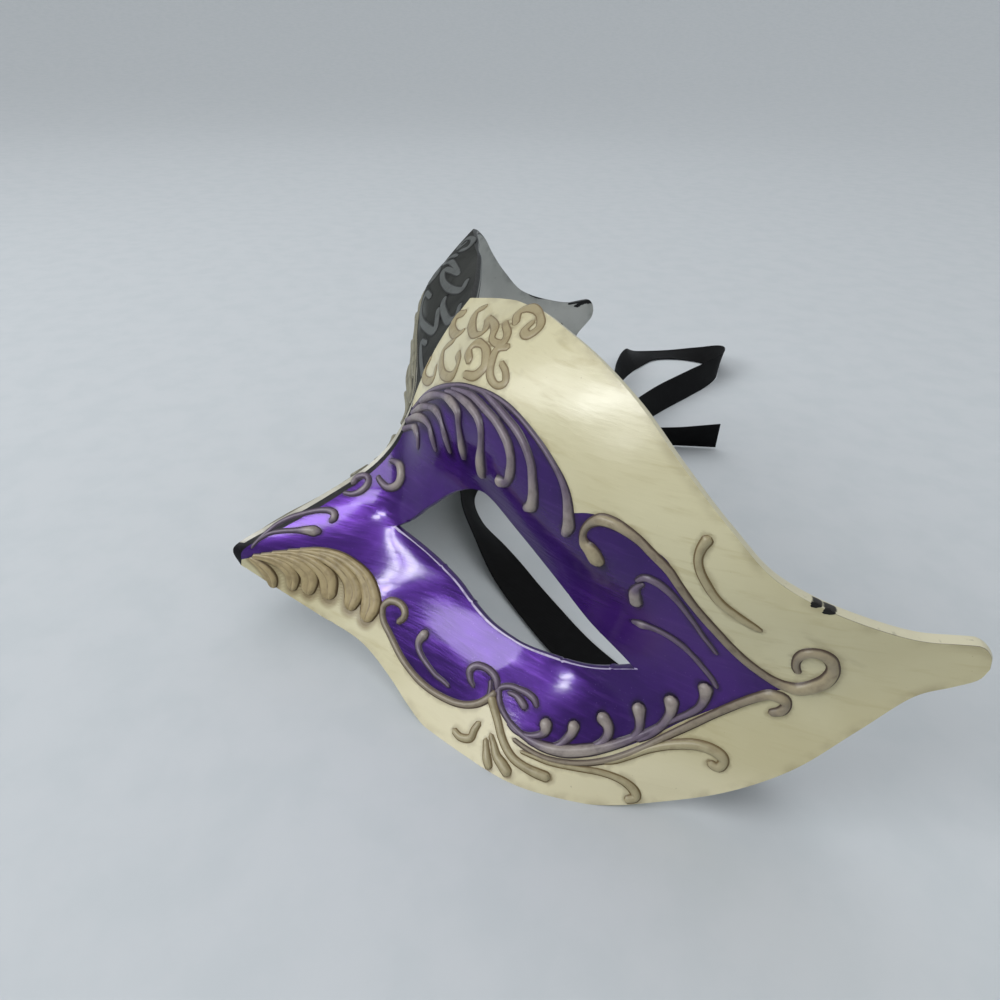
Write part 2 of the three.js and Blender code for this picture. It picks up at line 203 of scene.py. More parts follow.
CHEEK_SWELL = [(30, -5.4, 19), (42, 1, 16), (54, 11.7, 17)]

# Border of the painted eye surround, as arcs between its cusps, each point (across, up)
BORDER = [
    [(1, 18.5), (1.6, 22.3), (2.4, 28), (2.4, 43), (2, 54), (1, 59.5)],
    [(1, 59.5), (4.5, 63.5), (14, 69.5), (22.5, 73.5), (31, 77), (37, 78.5), (42, 79), (48.5, 79.5),
     (54.5, 78.5), (59.5, 76.5), (64, 74), (66.5, 71), (68, 67.5), (68.5, 65.5)],
    [(68.5, 65.5), (71.5, 67), (74.5, 67.5), (77, 67.5), (80, 65), (82.5, 63), (83.5, 59), (84.5, 54),
     (85.5, 50), (87, 45), (89, 41.5), (92, 38.8)],
    [(92, 38.8), (88.2, 34.7), (85.9, 30.7), (83.2, 26.1), (80.8, 21.6), (78.7, 16.2), (76.8, 11.7),
     (74.8, 8.4), (71.9, 7.2), (67.8, 7.4), (65, 8.1), (61.9, 9.3), (59.3, 10.8), (57.2, 12.5)],
    [(57.2, 12.5), (56.4, 10.4), (55.8, 9.1), (54.7, 8), (52, 6.9), (47.5, 6.4), (43, 6.9), (38.5, 8.1),
     (33.6, 10), (30.6, 11.5), (28, 13), (26.1, 14.8), (24.6, 16.6), (23, 18.4), (21.3, 20), (19, 21.6),
     (16, 23.1), (12.8, 24), (10, 24.3), (7.7, 23.7), (3.8, 20.8), (1, 18.5)],
]

# Places that belong together on the outer edge, the border and the eye, with the steps to the next
STATIONS = [
    (NOSE_FOOT, (1, 18.5), (17, 32.9), 8),
    (NOSE_TIP, (1.6, 22.3), (15.5, 33.5), 44),
    ((0, 43), (2.4, 43), (17, 36), 14),
    ((0, 54), (2, 54), (21.5, 41.5), 44),
    (BROW_NOTCH, (14, 69.5), (28.5, 49.5), 44),
    ((36, 93.5), (42, 79), (38.5, 54), 44),
    ((71, 87), (64, 74), (48.5, 49.5), 16),
    ((80, 80), (68.5, 65.5), (54, 45.5), 24),
    ((90, 68.5), (77, 67.5), (60, 40.5), 26),
    ((98, 59), (84.5, 54), (66, 34.5), 30),
    ((106, 51.8), (92, 38.8), (72, 29), 30),
    ((98.5, 32.5), (83.2, 26.1), (68, 26.5), 44),
    ((84, 2.5), (76.8, 11.7), (60, 22.7), 44),
    ((63, 0), (57.2, 12.5), (50, 22), 34),
    ((39, 4), (38.5, 8.1), (38, 24.5), 26),
    ((20, 9), (26.1, 14.8), (28, 28.7), 22),
    ((7, 12), (12.8, 24), (21, 31.5), 16),
]

# Raised strokes of the relief, each point (across, up, width of the stroke there)
# Comb of strokes over the eye
COMB = [
    [(1.8, 54.1, 1.4), (5.1, 56, 1.3), (11.8, 58, 1.9), (13.9, 56.8, 1.2), (14.5, 54.5, 0.8)],
    [(1.5, 56.2, 1.4), (5.8, 58.8, 1.9), (16.1, 62.7, 1.8), (20.9, 62.7, 1.2), (22.7, 60.7, 1.4),
     (23.8, 58.1, 0.8)],
    [(3.1, 59, 1.5), (10.5, 63.2, 1.9), (18.7, 66.7, 1.3), (25.2, 68, 1.7), (28.1, 66.7, 1.1),
     (29.8, 64.1, 1.5), (30.4, 60.6, 0.8)],
    [(8.7, 64.2, 1.5), (17, 68.8, 1.8), (25.9, 72.3, 1.2), (31.7, 73.2, 2), (36, 72.4, 1.8),
     (36.6, 70.1, 1.3), (37.2, 67.5, 1.6), (37.1, 64.7, 2), (36, 61.8, 1.1)],
    [(27.2, 73.8, 0.7), (31.9, 75.1, 1.1), (36.6, 75.6, 1.6), (40.9, 75.4, 1.8), (44.4, 74.4, 1.7),
     (46, 72.5, 1.5), (46.2, 69.7, 1.5), (45.4, 66.7, 2.1), (44.2, 64, 2.6), (42.7, 61.1, 2)],
    [(30.1, 75.5, 0.6), (35, 76.8, 0.9), (40, 77.5, 1.3), (45.4, 76.9, 1.5), (49.8, 76, 1.6),
     (52.6, 74.6, 1.7), (54.5, 72.9, 1.8), (55.5, 70.4, 1.8), (55.1, 67.3, 1.9), (53.4, 64.6, 1.4),
     (51.2, 63.7, 2.5)],
    [(38, 78.6, 0.5), (42.4, 79.3, 0.8), (47.5, 78.7, 1.2), (52.2, 77.5, 1.3), (55.9, 76, 1.5),
     (58.4, 74, 1.5), (60.1, 71.5, 1.6), (60.7, 68.6, 1.8), (60.7, 65.6, 2.1), (59.6, 62.5, 2.3),
     (57.7, 60.9, 1.5)],
]
# Strokes along the edge of the eye surround
EDGES = [
    [(2.4, 59.8, 0.7), (5.9, 63.1, 0.8), (13.3, 68.2, 0.8), (22.5, 72.9, 0.8), (29.5, 76, 0.6),
     (35, 78, 0.5), (40, 79.1, 0.5), (45.5, 79.8, 0.5), (50.7, 79.6, 0.6), (54.7, 78.7, 0.6),
     (58.5, 77.2, 0.7), (61.7, 75.4, 0.8), (64.6, 73.1, 0.9), (66.5, 70.9, 1.2), (67.6, 68.4, 1.6),
     (67.9, 65.4, 2), (67.7, 62.5, 2.3), (66.5, 60.1, 1.6)],
    [(71.6, 57.3, 3.5), (71.2, 58.9, 3.4), (70.3, 60.1, 2.2), (70.2, 61.8, 1.1), (71, 63.9, 1),
     (72.3, 65.7, 1.5), (73.8, 66.8, 2.1), (75.5, 66.9, 2.1), (77.3, 66.3, 1.8), (79.1, 65.2, 1.5),
     (80.4, 63.8, 1.5), (81.6, 62.4, 1.5), (82.6, 61, 1.5), (83.3, 59.1, 1.4), (84, 56.7, 1.4),
     (84.7, 54, 1.3), (85.4, 51.4, 1.4), (86.1, 48.8, 1.4), (86.9, 45.9, 1.4), (88.1, 43, 1.4),
     (89.5, 40.9, 1.4), (90.6, 39.8, 1.6), (91.7, 39.3, 2), (92.8, 39.4, 2.5), (93.9, 40.5, 2.7),
     (94.9, 42.3, 2.7), (95.6, 44.6, 2.2), (95.9, 47, 1.8), (95.7, 48.9, 2.1), (95.2, 49.6, 2),
     (94.4, 49.4, 1.9), (93.6, 48.2, 1.7), (93, 46.4, 1.1), (92.8, 44.6, 1), (92.9, 43.5, 0.8)],
    [(56.8, 13.2, 1), (58.5, 11.5, 1.1), (60.5, 10.2, 1), (62.7, 9.2, 0.9), (65.3, 8.4, 1), (67.6, 8, 1.3),
     (69.5, 7.9, 1.8), (71.1, 8.1, 2.2), (72.6, 8.6, 2.5), (73.9, 9.6, 2.4), (75.1, 11, 2.1),
     (76.2, 12.8, 1.7), (77.1, 14.8, 1.4), (78.1, 17, 1.2), (78.9, 19.3, 1), (79.9, 21.7, 0.7)],
    [(65.7, 6.9, 0.5), (68.7, 6.4, 0.7), (71.5, 6.2, 0.8), (73.8, 6.6, 0.9), (75.5, 7.5, 0.9),
     (76.8, 8.9, 1), (77.9, 11, 1.1), (79, 13.8, 1.1), (80.2, 17.3, 1.1), (82.1, 21.8, 1.3),
     (83.9, 25.7, 1.3), (85.9, 29.5, 1.4), (87.5, 32.3, 1.5), (89, 34.6, 1.7), (90.3, 36.1, 2.1),
     (91.3, 36, 2.3), (91.8, 34.6, 1.5), (91.4, 32.7, 1.7), (90.6, 31.7, 1.4)],
    [(30.2, 14.5, 1.1), (30.3, 15.7, 1.5), (29.2, 17.1, 1.6), (27.2, 18, 1.5), (25.6, 17.8, 1.5),
     (25.3, 16.5, 1.4), (26.3, 14.8, 1.3), (28, 13.2, 1.3), (30.6, 11.7, 1.3), (33.6, 10.2, 1.3),
     (36.9, 8.8, 1.3), (40.4, 7.7, 1.2), (43.9, 6.9, 1.3), (47.5, 6.6, 1.2), (50.6, 6.8, 1.2),
     (53.2, 7.3, 1.2), (54.9, 8.1, 1.2), (56.1, 9.3, 1.3), (56.6, 10.7, 1.4), (56.7, 12.3, 1.4)],
]
# Scrolls on the nose and the eye surround
SCROLLS = [
    [(2.3, 22.7, 0.4), (2, 24.4, 0.5), (1.5, 26.3, 0.8), (0.9, 28.5, 0.9), (1.1, 30.3, 1.1), (2, 31.8, 1),
     (3, 32.8, 1.1), (4.2, 33.3, 1.3), (5.5, 33.1, 1.7), (6.4, 32.2, 1.9), (6.6, 31.4, 1.2)],
    [(2.1, 23.8, 0.4), (1.9, 25.4, 0.6), (2, 26.6, 0.8), (3, 27.5, 0.9), (4.3, 28.1, 1.1),
     (5.4, 28.5, 1.9), (6.4, 28.7, 2.5), (7, 28.8, 1.6)],
    [(4.8, 42.3, 1), (7, 41.6, 1.4), (9, 41.3, 1.5), (10.3, 42, 1.9), (11.1, 43.5, 2.2), (10.6, 45.2, 2.4),
     (8.8, 46.6, 2.2), (6.5, 46.8, 1.4), (4.1, 46.4, 0.9)],
    [(2.7, 37.3, 0.7), (4.3, 37.6, 1.1), (4.9, 38.6, 1.6), (4.7, 40, 1.7), (3.5, 41.2, 1.4),
     (1.9, 41.5, 1.3), (1.1, 40.8, 1.5), (1.7, 39.7, 1.7)],
    [(36.6, 14.8, 2.3), (36.8, 13.6, 2), (37.9, 12.3, 1.4), (40.1, 11.2, 1.1), (42.9, 10.3, 0.9),
     (45.5, 9.6, 0.8), (47.7, 9.4, 0.7), (49.3, 9.1, 0.5)],
    [(53, 11.5, 0.5), (51, 12.6, 1.2), (49.7, 13.9, 1.6), (49.9, 15, 1.4), (51.4, 15.5, 1.3),
     (53.1, 15.4, 1.4), (54.8, 14.7, 1.4), (56.3, 13.4, 1.1)],
    [(56.5, 11.2, 0.6), (55.4, 12.8, 0.7), (54.3, 14, 0.6)],
    [(56.7, 12.8, 0.9), (56.7, 13.9, 1), (57.6, 14.7, 1), (59, 14.9, 1.1), (60.8, 14.9, 1.3),
     (62.3, 14.5, 1.3), (63.5, 13.7, 0.9)],
    [(58.3, 13.6, 0.6), (59.6, 13.7, 1), (60.9, 13.3, 1.5), (62.2, 12.7, 1.5)],
    [(78.6, 55.6, 0.6), (77.5, 54.3, 1), (76.6, 52.2, 2.1), (76.2, 50.1, 2.4)],
    [(77.7, 55.8, 0.6), (79.4, 57.5, 1.3), (80.8, 57.3, 1.4), (82, 56, 1.3), (82.8, 54, 1),
     (83.4, 51.4, 0.8), (83.8, 48.9, 0.7), (84.1, 46.6, 0.7), (84.5, 44.7, 0.6), (84.9, 42.6, 0.4)],
    [(73.8, 43.2, 0.7), (75.3, 43.6, 1.7), (76.7, 43.8, 1.2), (78.1, 43.7, 1.1), (79.4, 43.1, 1.1),
     (80.6, 41.9, 1.1), (81.6, 40, 0.9), (82.6, 37.6, 0.9), (83.5, 35.5, 0.8), (84.1, 33.4, 0.6)],
]
# Drops along the lower edge of the surround
DROPS = [
    [(67.1, 11.5, 2.6), (67.8, 10.6, 2.2), (68, 9.7, 1.4), (67.3, 8.8, 1), (66, 8.3, 0.9),
     (64.5, 8.3, 0.7), (62.7, 8.9, 0.5)],
    [(70.2, 13.1, 2.4), (70.8, 11.9, 1.9), (71.1, 10.4, 1.4), (71.1, 9.1, 1.2), (70.3, 8.1, 1.1),
     (68.8, 7.7, 1), (67.5, 7.7, 0.6)],
    [(72.2, 16.5, 2.6), (73.5, 15.5, 2.1), (74.4, 14, 1.7), (74.7, 12.3, 1.4), (74.5, 11, 1.3),
     (74, 9.7, 1), (73.3, 8.8, 0.6)],
    [(75.2, 20.9, 2.7), (76.2, 18.9, 1.8), (77, 16.8, 1.4), (77.1, 15, 1.3), (76.7, 13.4, 1.2),
     (76.2, 12, 0.8)],
    [(78.6, 25.3, 2.9), (79.1, 23, 1.9), (79.1, 20.4, 1.5), (78.8, 18.3, 1.4), (78.4, 16.2, 1),
     (77.8, 14.7, 0.6)],
    [(82.7, 32, 2.7), (82.7, 29.4, 1.8), (82.3, 26.7, 1.3), (81.3, 24.2, 1.1), (80.2, 22.1, 0.9),
     (79.5, 20.4, 0.6)],
]
# Feathered fan under the nose
FAN = [
    [(2.7, 19.4, 1.2), (3.6, 18.4, 2), (4.7, 16.8, 3), (5.5, 14.9, 3.2), (5.9, 12.9, 2.3)],
    [(3.1, 20.4, 1), (4.5, 20.5, 1.6), (6.1, 20, 2.2), (7.8, 18.7, 2.9), (9, 16.6, 3.3), (9.4, 14.2, 2.6)],
    [(4, 21.1, 0.9), (5.8, 21.5, 1.7), (7.8, 20.9, 2.4), (9.8, 19.5, 3.4), (11.4, 17.4, 4.4),
     (12.2, 14.8, 3.5)],
    [(5.1, 22.1, 0.8), (7.2, 22.6, 1.6), (9.4, 22, 2.2), (11.9, 20.4, 3.2), (14.1, 18.1, 4.4),
     (15.6, 15.3, 4)],
    [(6.6, 23.2, 0.8), (8.8, 23.6, 1.6), (11.1, 23.2, 2.2), (13.9, 21.8, 2.8), (17, 19.4, 3.7),
     (19.4, 16.6, 4.6), (20.4, 14.2, 3.3)],
    [(7.7, 24, 0.7), (9.9, 24.5, 1.4), (12.5, 24.2, 2), (15.4, 22.9, 2.4), (18.5, 20.9, 3.2),
     (21.2, 18.3, 4.1), (23.4, 15.5, 4.7), (24.4, 13.2, 3.6)],
]
# Scrolls on the cheek and the wing
CHEEK = [
    [(86.2, 69, 1.6), (85.9, 67.3, 1.3), (85.8, 65.1, 1.1), (86.1, 62.8, 1.2), (86.7, 60.5, 1.3),
     (87.3, 58.3, 1.3), (88, 56.5, 1.4), (88.8, 55.2, 1.4), (89.6, 54, 1.4), (90.3, 53, 1.2),
     (90.8, 52.3, 0.7)],
    [(76.2, 8.2, 0.4), (77.5, 9.1, 0.7), (78.4, 11, 1), (79.4, 13.4, 1.3), (80.8, 15.5, 1.6),
     (82.3, 17, 1.9), (83.8, 18, 2.1), (85.4, 18.3, 2.2), (86.9, 17.7, 2.2), (87.6, 16.3, 1.7),
     (87.3, 14.6, 1.8), (86.5, 14.9, 1.5)],
    [(68.2, 5.6, 0.3), (70.4, 5.7, 0.6), (72.5, 5.7, 0.7), (74.4, 6, 0.8), (76, 6.3, 0.9), (77.4, 6.5, 1),
     (78.8, 6.3, 1.1), (80.2, 5.6, 1.4), (81.5, 4.2, 1.7), (82.2, 2.6, 1.7), (81.9, 2.1, 1.5)],
    [(57.2, 11.2, 1.8), (59, 9.9, 1.6), (61.4, 8.2, 1.5), (63.7, 6.5, 1.5), (66.2, 5, 1.5), (68.5, 4, 1.5),
     (70.9, 3.5, 1.5), (72.6, 3.3, 1.8), (73.9, 3.2, 1.9)],
    [(62.5, 5.6, 0.8), (64.3, 4.4, 1.2), (66.3, 3, 1.7), (68.2, 2.2, 2.1), (69.6, 1.5, 2.1)],
    [(62.6, 4.4, 0.9), (64.1, 3, 1.3), (65.6, 1.7, 1.8), (66.8, 0.8, 1.5)],
    [(57.1, 2.7, 1.2), (58.9, 2.4, 1.4), (60.3, 3.2, 1.5), (59.6, 4.9, 1.4), (59.2, 6.3, 1)],
]
# Low painted curls on the forehead
CURLS = [
    [(3.3, 83.8, 1.7), (0.1, 82.1, 2.1), (2.7, 80.2, 2.3), (12, 81.3, 2), (14.2, 82.7, 1.6)],
    [(12.3, 87.6, 1.6), (10.3, 86, 2), (16.1, 84.7, 2.2), (24.2, 85, 1.7), (28.4, 86.8, 1.8),
     (20.4, 87.5, 1.5)],
    [(21.7, 87.8, 1.1), (30.7, 88.4, 1.7), (34.3, 87, 1.2), (37.8, 87.3, 1.9), (36.6, 88.6, 1.6),
     (31.7, 89.7, 1.1)],
    [(34.8, 90.5, 1.4), (31.6, 91.8, 2), (33.1, 92.9, 2.1), (39, 93, 1.3), (42.7, 91.7, 2),
     (42.2, 90.2, 1.8), (39.5, 90.4, 1.7), (39.1, 91.7, 1.4)],
    [(-0.1, 71.8, 1.5), (-0.6, 69.4, 2), (1.4, 67.6, 1.9), (8.4, 69, 1.9), (12.9, 71.8, 1.6),
     (9.2, 72.8, 1.4)],
    [(13, 80.2, 1.6), (7.9, 76.5, 2.1), (14.8, 75.4, 2.2), (22.9, 75.7, 2), (28.2, 77.9, 1.8),
     (28.1, 80.5, 1.7), (23.7, 80.9, 1.5)],
    [(32.8, 82.6, 1.8), (30.1, 83.8, 2.2), (30.2, 85.1, 2.3), (33.2, 85.7, 1.3), (36.3, 84.9, 2),
     (38.6, 83, 2.2), (37.8, 81, 1.9), (33.9, 79.9, 1.2)],
    [(40, 87.3, 1.2), (37.9, 86.4, 1.7), (39.5, 84.2, 1.8), (42.1, 82.2, 1.6), (45.5, 81.6, 1.1),
     (46.8, 82.6, 1.5), (45, 84.1, 1.2), (42.2, 84.9, 0.9)],
]

# Chips of missing paint at the near rim (across, up, size), and black paint that laps over the far
# rim on to the inside (place along the rim, spread, reach)
RIM_CHIPS = [(95.8, 60.9, 0.5), (96.7, 59.95, 0.55)]
FAR_LAPS = [(96.2, 1.5, 0.7), (103.4, 1.2, 2.3), (104.8, 0.7, 1.3)]

# Ribbon routes, each (point, direction of the ribbon's width)
HALF_UP = RIBBON_WIDTH / 2 + 0.4
LEFT_TIE = [
    ((93.1, 61.1, 48), (0.4, 0.9, 0)), ((92.2, 61.8, 44.5), (0.4, 0.9, 0)),
    ((91, 62.5, 40), (0.4, 0.9, 0)),
    ((87, 62, 24), (0.4, 0.9, 0)), ((79, 58, 10), (0, 1, 0)), ((67, 51, 2.6), (-0.3, 0.95, 0)),
    ((51, 43.5, 1.2), (-0.35, 0.93, 0)), ((34, 36, 0.8), (-0.3, 0.95, 0)),
    ((15, 30.5, 0.8), (-0.2, 0.97, 0)), ((-2, 26.5, 1.2), (0, 0.95, -0.1)),
    ((-18, 23, 3.4), (0, 0.85, -0.45)), ((-34, 20, 5.2), (0, 0.6, -0.75)),
    ((-52, 22, HALF_UP), (0.1, 0.3, -0.95)), ((-68, 33, HALF_UP), (0, 0.1, -1)),
    ((-79, 50, HALF_UP), (-0.3, 0, -0.93)), ((-83, 70, 5.8), (-0.45, 0, -0.88)),
    ((-82.5, 92, 5.6), (-0.5, 0, -0.86)), ((-79, 112, 5.8), (-0.45, 0.05, -0.88)),
    ((-75.5, 129, HALF_UP), (-0.2, 0.1, -0.96)),
]
RIGHT_TIE = [
    ((-93.1, 61.1, 48), (-0.4, 0.9, 0)), ((-92.2, 63.2, 44), (-0.3, 0.9, 0.1)),
    ((-90, 67, 37), (-0.2, 0.9, 0.3)), ((-93, 78, 24), (0, 0.6, 0.6)),
    ((-102, 87, 13.5), (0, 0.2, 0.9)), ((-116, 96, 8), (0, 0, 1)),
    ((-134, 105, HALF_UP), (-0.1, -0.1, 0.98)), ((-153, 114, HALF_UP), (-0.15, -0.15, 0.95)),
    ((-172, 127, 5.6), (-0.4, -0.35, 0.75)), ((-188, 142, 1.6), (-0.93, -0.25, 0.1)),
    ((-189, 156, 1.2), (-0.97, 0.15, 0.05)), ((-182, 169, 3), (-0.8, 0.45, 0.35)),
    ((-170, 174, 5.8), (-0.3, 0.5, 0.8)), ((-156, 169, HALF_UP), (-0.1, 0.2, 0.97)),
    ((-145, 157, 6), (-0.35, 0.1, 0.9)), ((-134, 142, 5.8), (-0.45, 0.1, 0.87)),
    ((-120, 123, 5.8), (-0.48, 0.1, 0.87)), ((-108, 109, 6), (-0.4, 0.1, 0.9)),
    ((-98, 98, HALF_UP), (0, 0, 1)),
]
LEFT_LENGTH = 0.303
RIGHT_LENGTH = 0.302


# Camera first
def in_row(point):
    """A point of the drawings, in the row frame's metres."""
    return Vector((point[0] * MM + CENTRE_X, point[1] * MM + CENTRE_Y, point[2] * MM))


def make_camera():
    data = bpy.data.cameras.new("camera")
    data.sensor_width = CAMERA_SENSOR
    data.lens = CAMERA_LENS
    data.clip_start, data.clip_end = CAMERA_CLIP
    camera = bpy.data.objects.new("camera", data)
    bpy.context.scene.collection.objects.link(camera)
    turn = Matrix.Rotation(math.radians(CAMERA_AZIMUTH), 4, "Z")
    tilt = Matrix.Rotation(math.radians(90 - CAMERA_ELEVATION), 4, "X")
    roll = Matrix.Rotation(math.radians(CAMERA_ROLL), 4, "Z")
    camera.matrix_world = Matrix.Translation(in_row(CAMERA_SPOT)) @ turn @ tilt @ roll
    bpy.context.scene.camera = camera


# Curves
def through(points, per_span=CURVE_SPAN):
    """Dense points of a centripetal Catmull-Rom curve through the given ones."""
    knots = np.asarray(points, float)
    knots = np.vstack([2 * knots[0] - knots[1], knots, 2 * knots[-1] - knots[-2]])
    t = np.linspace(0, 1, per_span, endpoint=False)[:, None]
    spans = []
    for a, b, c, d in zip(knots, knots[1:], knots[2:], knots[3:]):
        before, here, after = (max(np.linalg.norm(v) ** 0.5, 1e-3) for v in (b - a, c - b, d - c))
        out = ((b - a) / before - (c - a) / (before + here) + (c - b) / here) * here
        into = ((c - b) / here - (d - b) / (here + after) + (d - c) / after) * here
        cubic = 2 * b - 2 * c + out + into
        square = 3 * c - 3 * b - 2 * out - into
        spans.append(((cubic * t + square) * t + out) * t + b)
    spans.append(knots[-2][None])
    return np.vstack(spans)


def lengths_along(points):
    return np.concatenate([[0], np.cumsum(np.linalg.norm(np.diff(points, axis=0), axis=1))])


def sampled(points, along, places):
    """A line of points at other places, both given as lengths along it."""
    return np.stack([np.interp(places, along, column) for column in points.T], axis=1)


def spaced(points, count):
    """That many points, evenly spaced along a line of points."""
    along = lengths_along(points)
    return sampled(points, along, np.linspace(0, along[-1], count))


def mirrored(rows, signs):
    """The rows in reverse, each number times its sign."""
    return [tuple(value * sign for value, sign in zip(row, signs)) for row in reversed(rows)]


def unit(vectors):
    return vectors / np.maximum(np.linalg.norm(vectors, axis=-1, keepdims=True), 1e-12)


def smooth_step(value, low, high):
    share = np.clip((value - low) / (high - low), 0, 1)
    return share * share * (3 - 2 * share)


# Skin of the half: depth is a thin plate bent to pass through every outline point
def radial(squared):
    return np.where(squared > 0, 0.5 * squared * np.log(np.maximum(squared, 1e-12)), 0)


def stretch_skin():
    pegs = []
    for x, y, z in RIM + RIDGE + LOWER_EDGE + UPPER_LID + LOWER_LID + BROW_DOME + CHEEK_SWELL:
        if not any(abs(peg[0] - x) + abs(peg[2] - z) < PEG_GAP for peg in pegs):
            pegs.append((x, y, z))
    pegs = np.array(pegs, float)
    flat = pegs[:, [0, 2]]
    count = len(pegs)
    matrix = np.zeros((count + 3, count + 3))
    matrix[:count, :count] = radial(((flat[:, None] - flat[None]) ** 2).sum(-1))
    matrix[:count, count] = 1
    matrix[:count, count + 1:] = flat
    matrix[count:, :count] = matrix[:count, count:].T
    weights = np.linalg.solve(matrix, np.append(pegs[:, 1], [0, 0, 0]))

    def depth(x, z):
        place = np.stack([x, z], axis=-1)
        pull = radial(((place[..., None, :] - flat) ** 2).sum(-1)) @ weights[:count]
        return pull + weights[count] + weights[count + 1] * x + weights[count + 2] * z

    return depth


skin_depth = stretch_skin()


def face_points(flat):
    """Points on the face over places (across, up)."""
    x = flat[..., 0]
    z = flat[..., 1]
    return np.stack([x, skin_depth(x, z), z], axis=-1)


def face_normals(flat):
    x = flat[..., 0]
    z = flat[..., 1]
    across = (skin_depth(x + SLOPE_STEP, z) - skin_depth(x - SLOPE_STEP, z)) / (2 * SLOPE_STEP)
    up = (skin_depth(x, z + SLOPE_STEP) - skin_depth(x, z - SLOPE_STEP)) / (2 * SLOPE_STEP)
    return unit(np.stack([across, -np.ones_like(across), up], axis=-1))


def inner_points(flat):
    """One wall behind the face: straight back at the centre line, level near the table."""
    normal = face_normals(flat)
    side = smooth_step(flat[..., 0], 0, CENTRE_BLEND)
    level = np.where(normal[..., 2] > 0, smooth_step(flat[..., 1], 0, FOOT_BLEND), 1)
    inward = unit(np.stack([-normal[..., 0] * side, -normal[..., 1], -normal[..., 2] * level], -1))
    lean = np.maximum(-(inward * normal).sum(-1), LEAST_LEAN)
    return face_points(flat) + inward * (WALL / lean)[..., None]


# Loops of the half
def flat_of(points):
    return np.asarray(points, float)[:, [0, 2]]


def stretch(path, start, stop, steps):
    """Evenly spaced places along a closed path from nearest start to nearest stop."""
    first = ((path - start) ** 2).sum(1).argmin()
    last = ((path - stop) ** 2).sum(1).argmin()
    part = path[first:last + 1] if last >= first else np.vstack([path[first:], path[:last + 1]])
    part[0] = start if np.linalg.norm(part[0] - start) < SNAP else part[0]
    part[-1] = stop if np.linalg.norm(part[-1] - stop) < SNAP else part[-1]
    return spaced(part, steps + 1)[:-1]


def matched_loops():
    """The outer edge, the painted border and the eye opening, with as many places each."""
    edge = np.vstack([
        spaced(np.array([NOSE_FOOT, NOSE_TIP], float), NOSE_STEPS),
        spaced(np.array([NOSE_TIP, BROW_NOTCH], float), RIDGE_STEPS),
        flat_of(through(RIM)),
        flat_of(through(LOWER_EDGE))[::-1],
    ])
    edge[:, 1] = np.maximum(edge[:, 1], 0)
    border = np.vstack([through(arc) for arc in BORDER])
    eye = np.vstack([flat_of(through(UPPER_LID)), flat_of(through(LOWER_LID))])
    loops = []
    for path, column in ((edge, 0), (border, 1), (eye, 2)):
        parts = []
        for here, after in zip(STATIONS, STATIONS[1:] + STATIONS[:1]):
            start, stop = np.array([here[column], after[column]], float)
            parts.append(stretch(path, start, stop, here[3]))
        loops.append(np.vstack(parts))
    return loops


def ring_places(rings):
    """Rings of places (across, up) from the eye through the border to the outer edge."""
    edge, border, eye = matched_loops()
    surround, field = rings
    places = [eye + (border - eye) * k / surround for k in range(surround)]
    places += [border + (edge - border) * k / field for k in range(field + 1)]
    return np.array(places)


# Relief strokes: rows across a stroke as share of its half width, extra reach, height and shade
STROKE_SIDE = [
    (-1, -STROKE_SKIRT, 0, 1), (-1, -0.05, 0.1, 0.9), (-0.88, 0, 0.5, 0.5), (-0.66, 0, 0.82, 0.15),
    (-0.35, 0, 0.97, 0),
]
LEAF_SIDE = [
    (-1, -STROKE_SKIRT, 0, 1), (-1, -0.05, 0.1, 1), (-0.86, 0, 0.66, 0.4), (-0.58, 0, 0.98, 0),
    (-0.26, 0, 0.86, 0.12),
]
STROKE_ROWS = STROKE_SIDE + [(0, 0, 1, 0)] + mirrored(STROKE_SIDE, (-1, -1, 1, 1))
# A leaf dips along its middle, with painted shade in that groove.
LEAF_ROWS = LEAF_SIDE + [(0, 0, 0.66, 0.75)] + mirrored(LEAF_SIDE, (-1, -1, 1, 1))


def end_of(first):
    """The very end of a stroke, half a width beyond the middle of its rounded end."""
    step = first[0, :2] - first[-1, :2]
    corners = face_points(first[[0, -1], :2])
    reach = first[0, 2] / 2 / max(np.linalg.norm(corners[0] - corners[1]), 1e-6)
    return np.append(first[0, :2] + step * reach, first[0, 2])


def stroke_line(path, share=1):
    """Evenly spaced places along a stroke, its width there and how far its round ends narrow it."""
    dense = through(path)
    dense = np.vstack([end_of(dense[:5]), dense, end_of(dense[:-6:-1])])
    along = lengths_along(face_points(dense[:, :2]))
    at = np.linspace(0, along[-1], max(int(along[-1] / STROKE_STEP), STROKE_LEAST_STEPS))
    line = sampled(dense, along, at)
    width = line[:, 2] * share
    from_end = np.minimum(at / width[0], (at[-1] - at) / width[-1]) * 2
    cap = np.sqrt(1 - (1 - np.clip(from_end, STROKE_BLUNTNESS, 1)) ** 2)
    return line[:, :2], width, cap


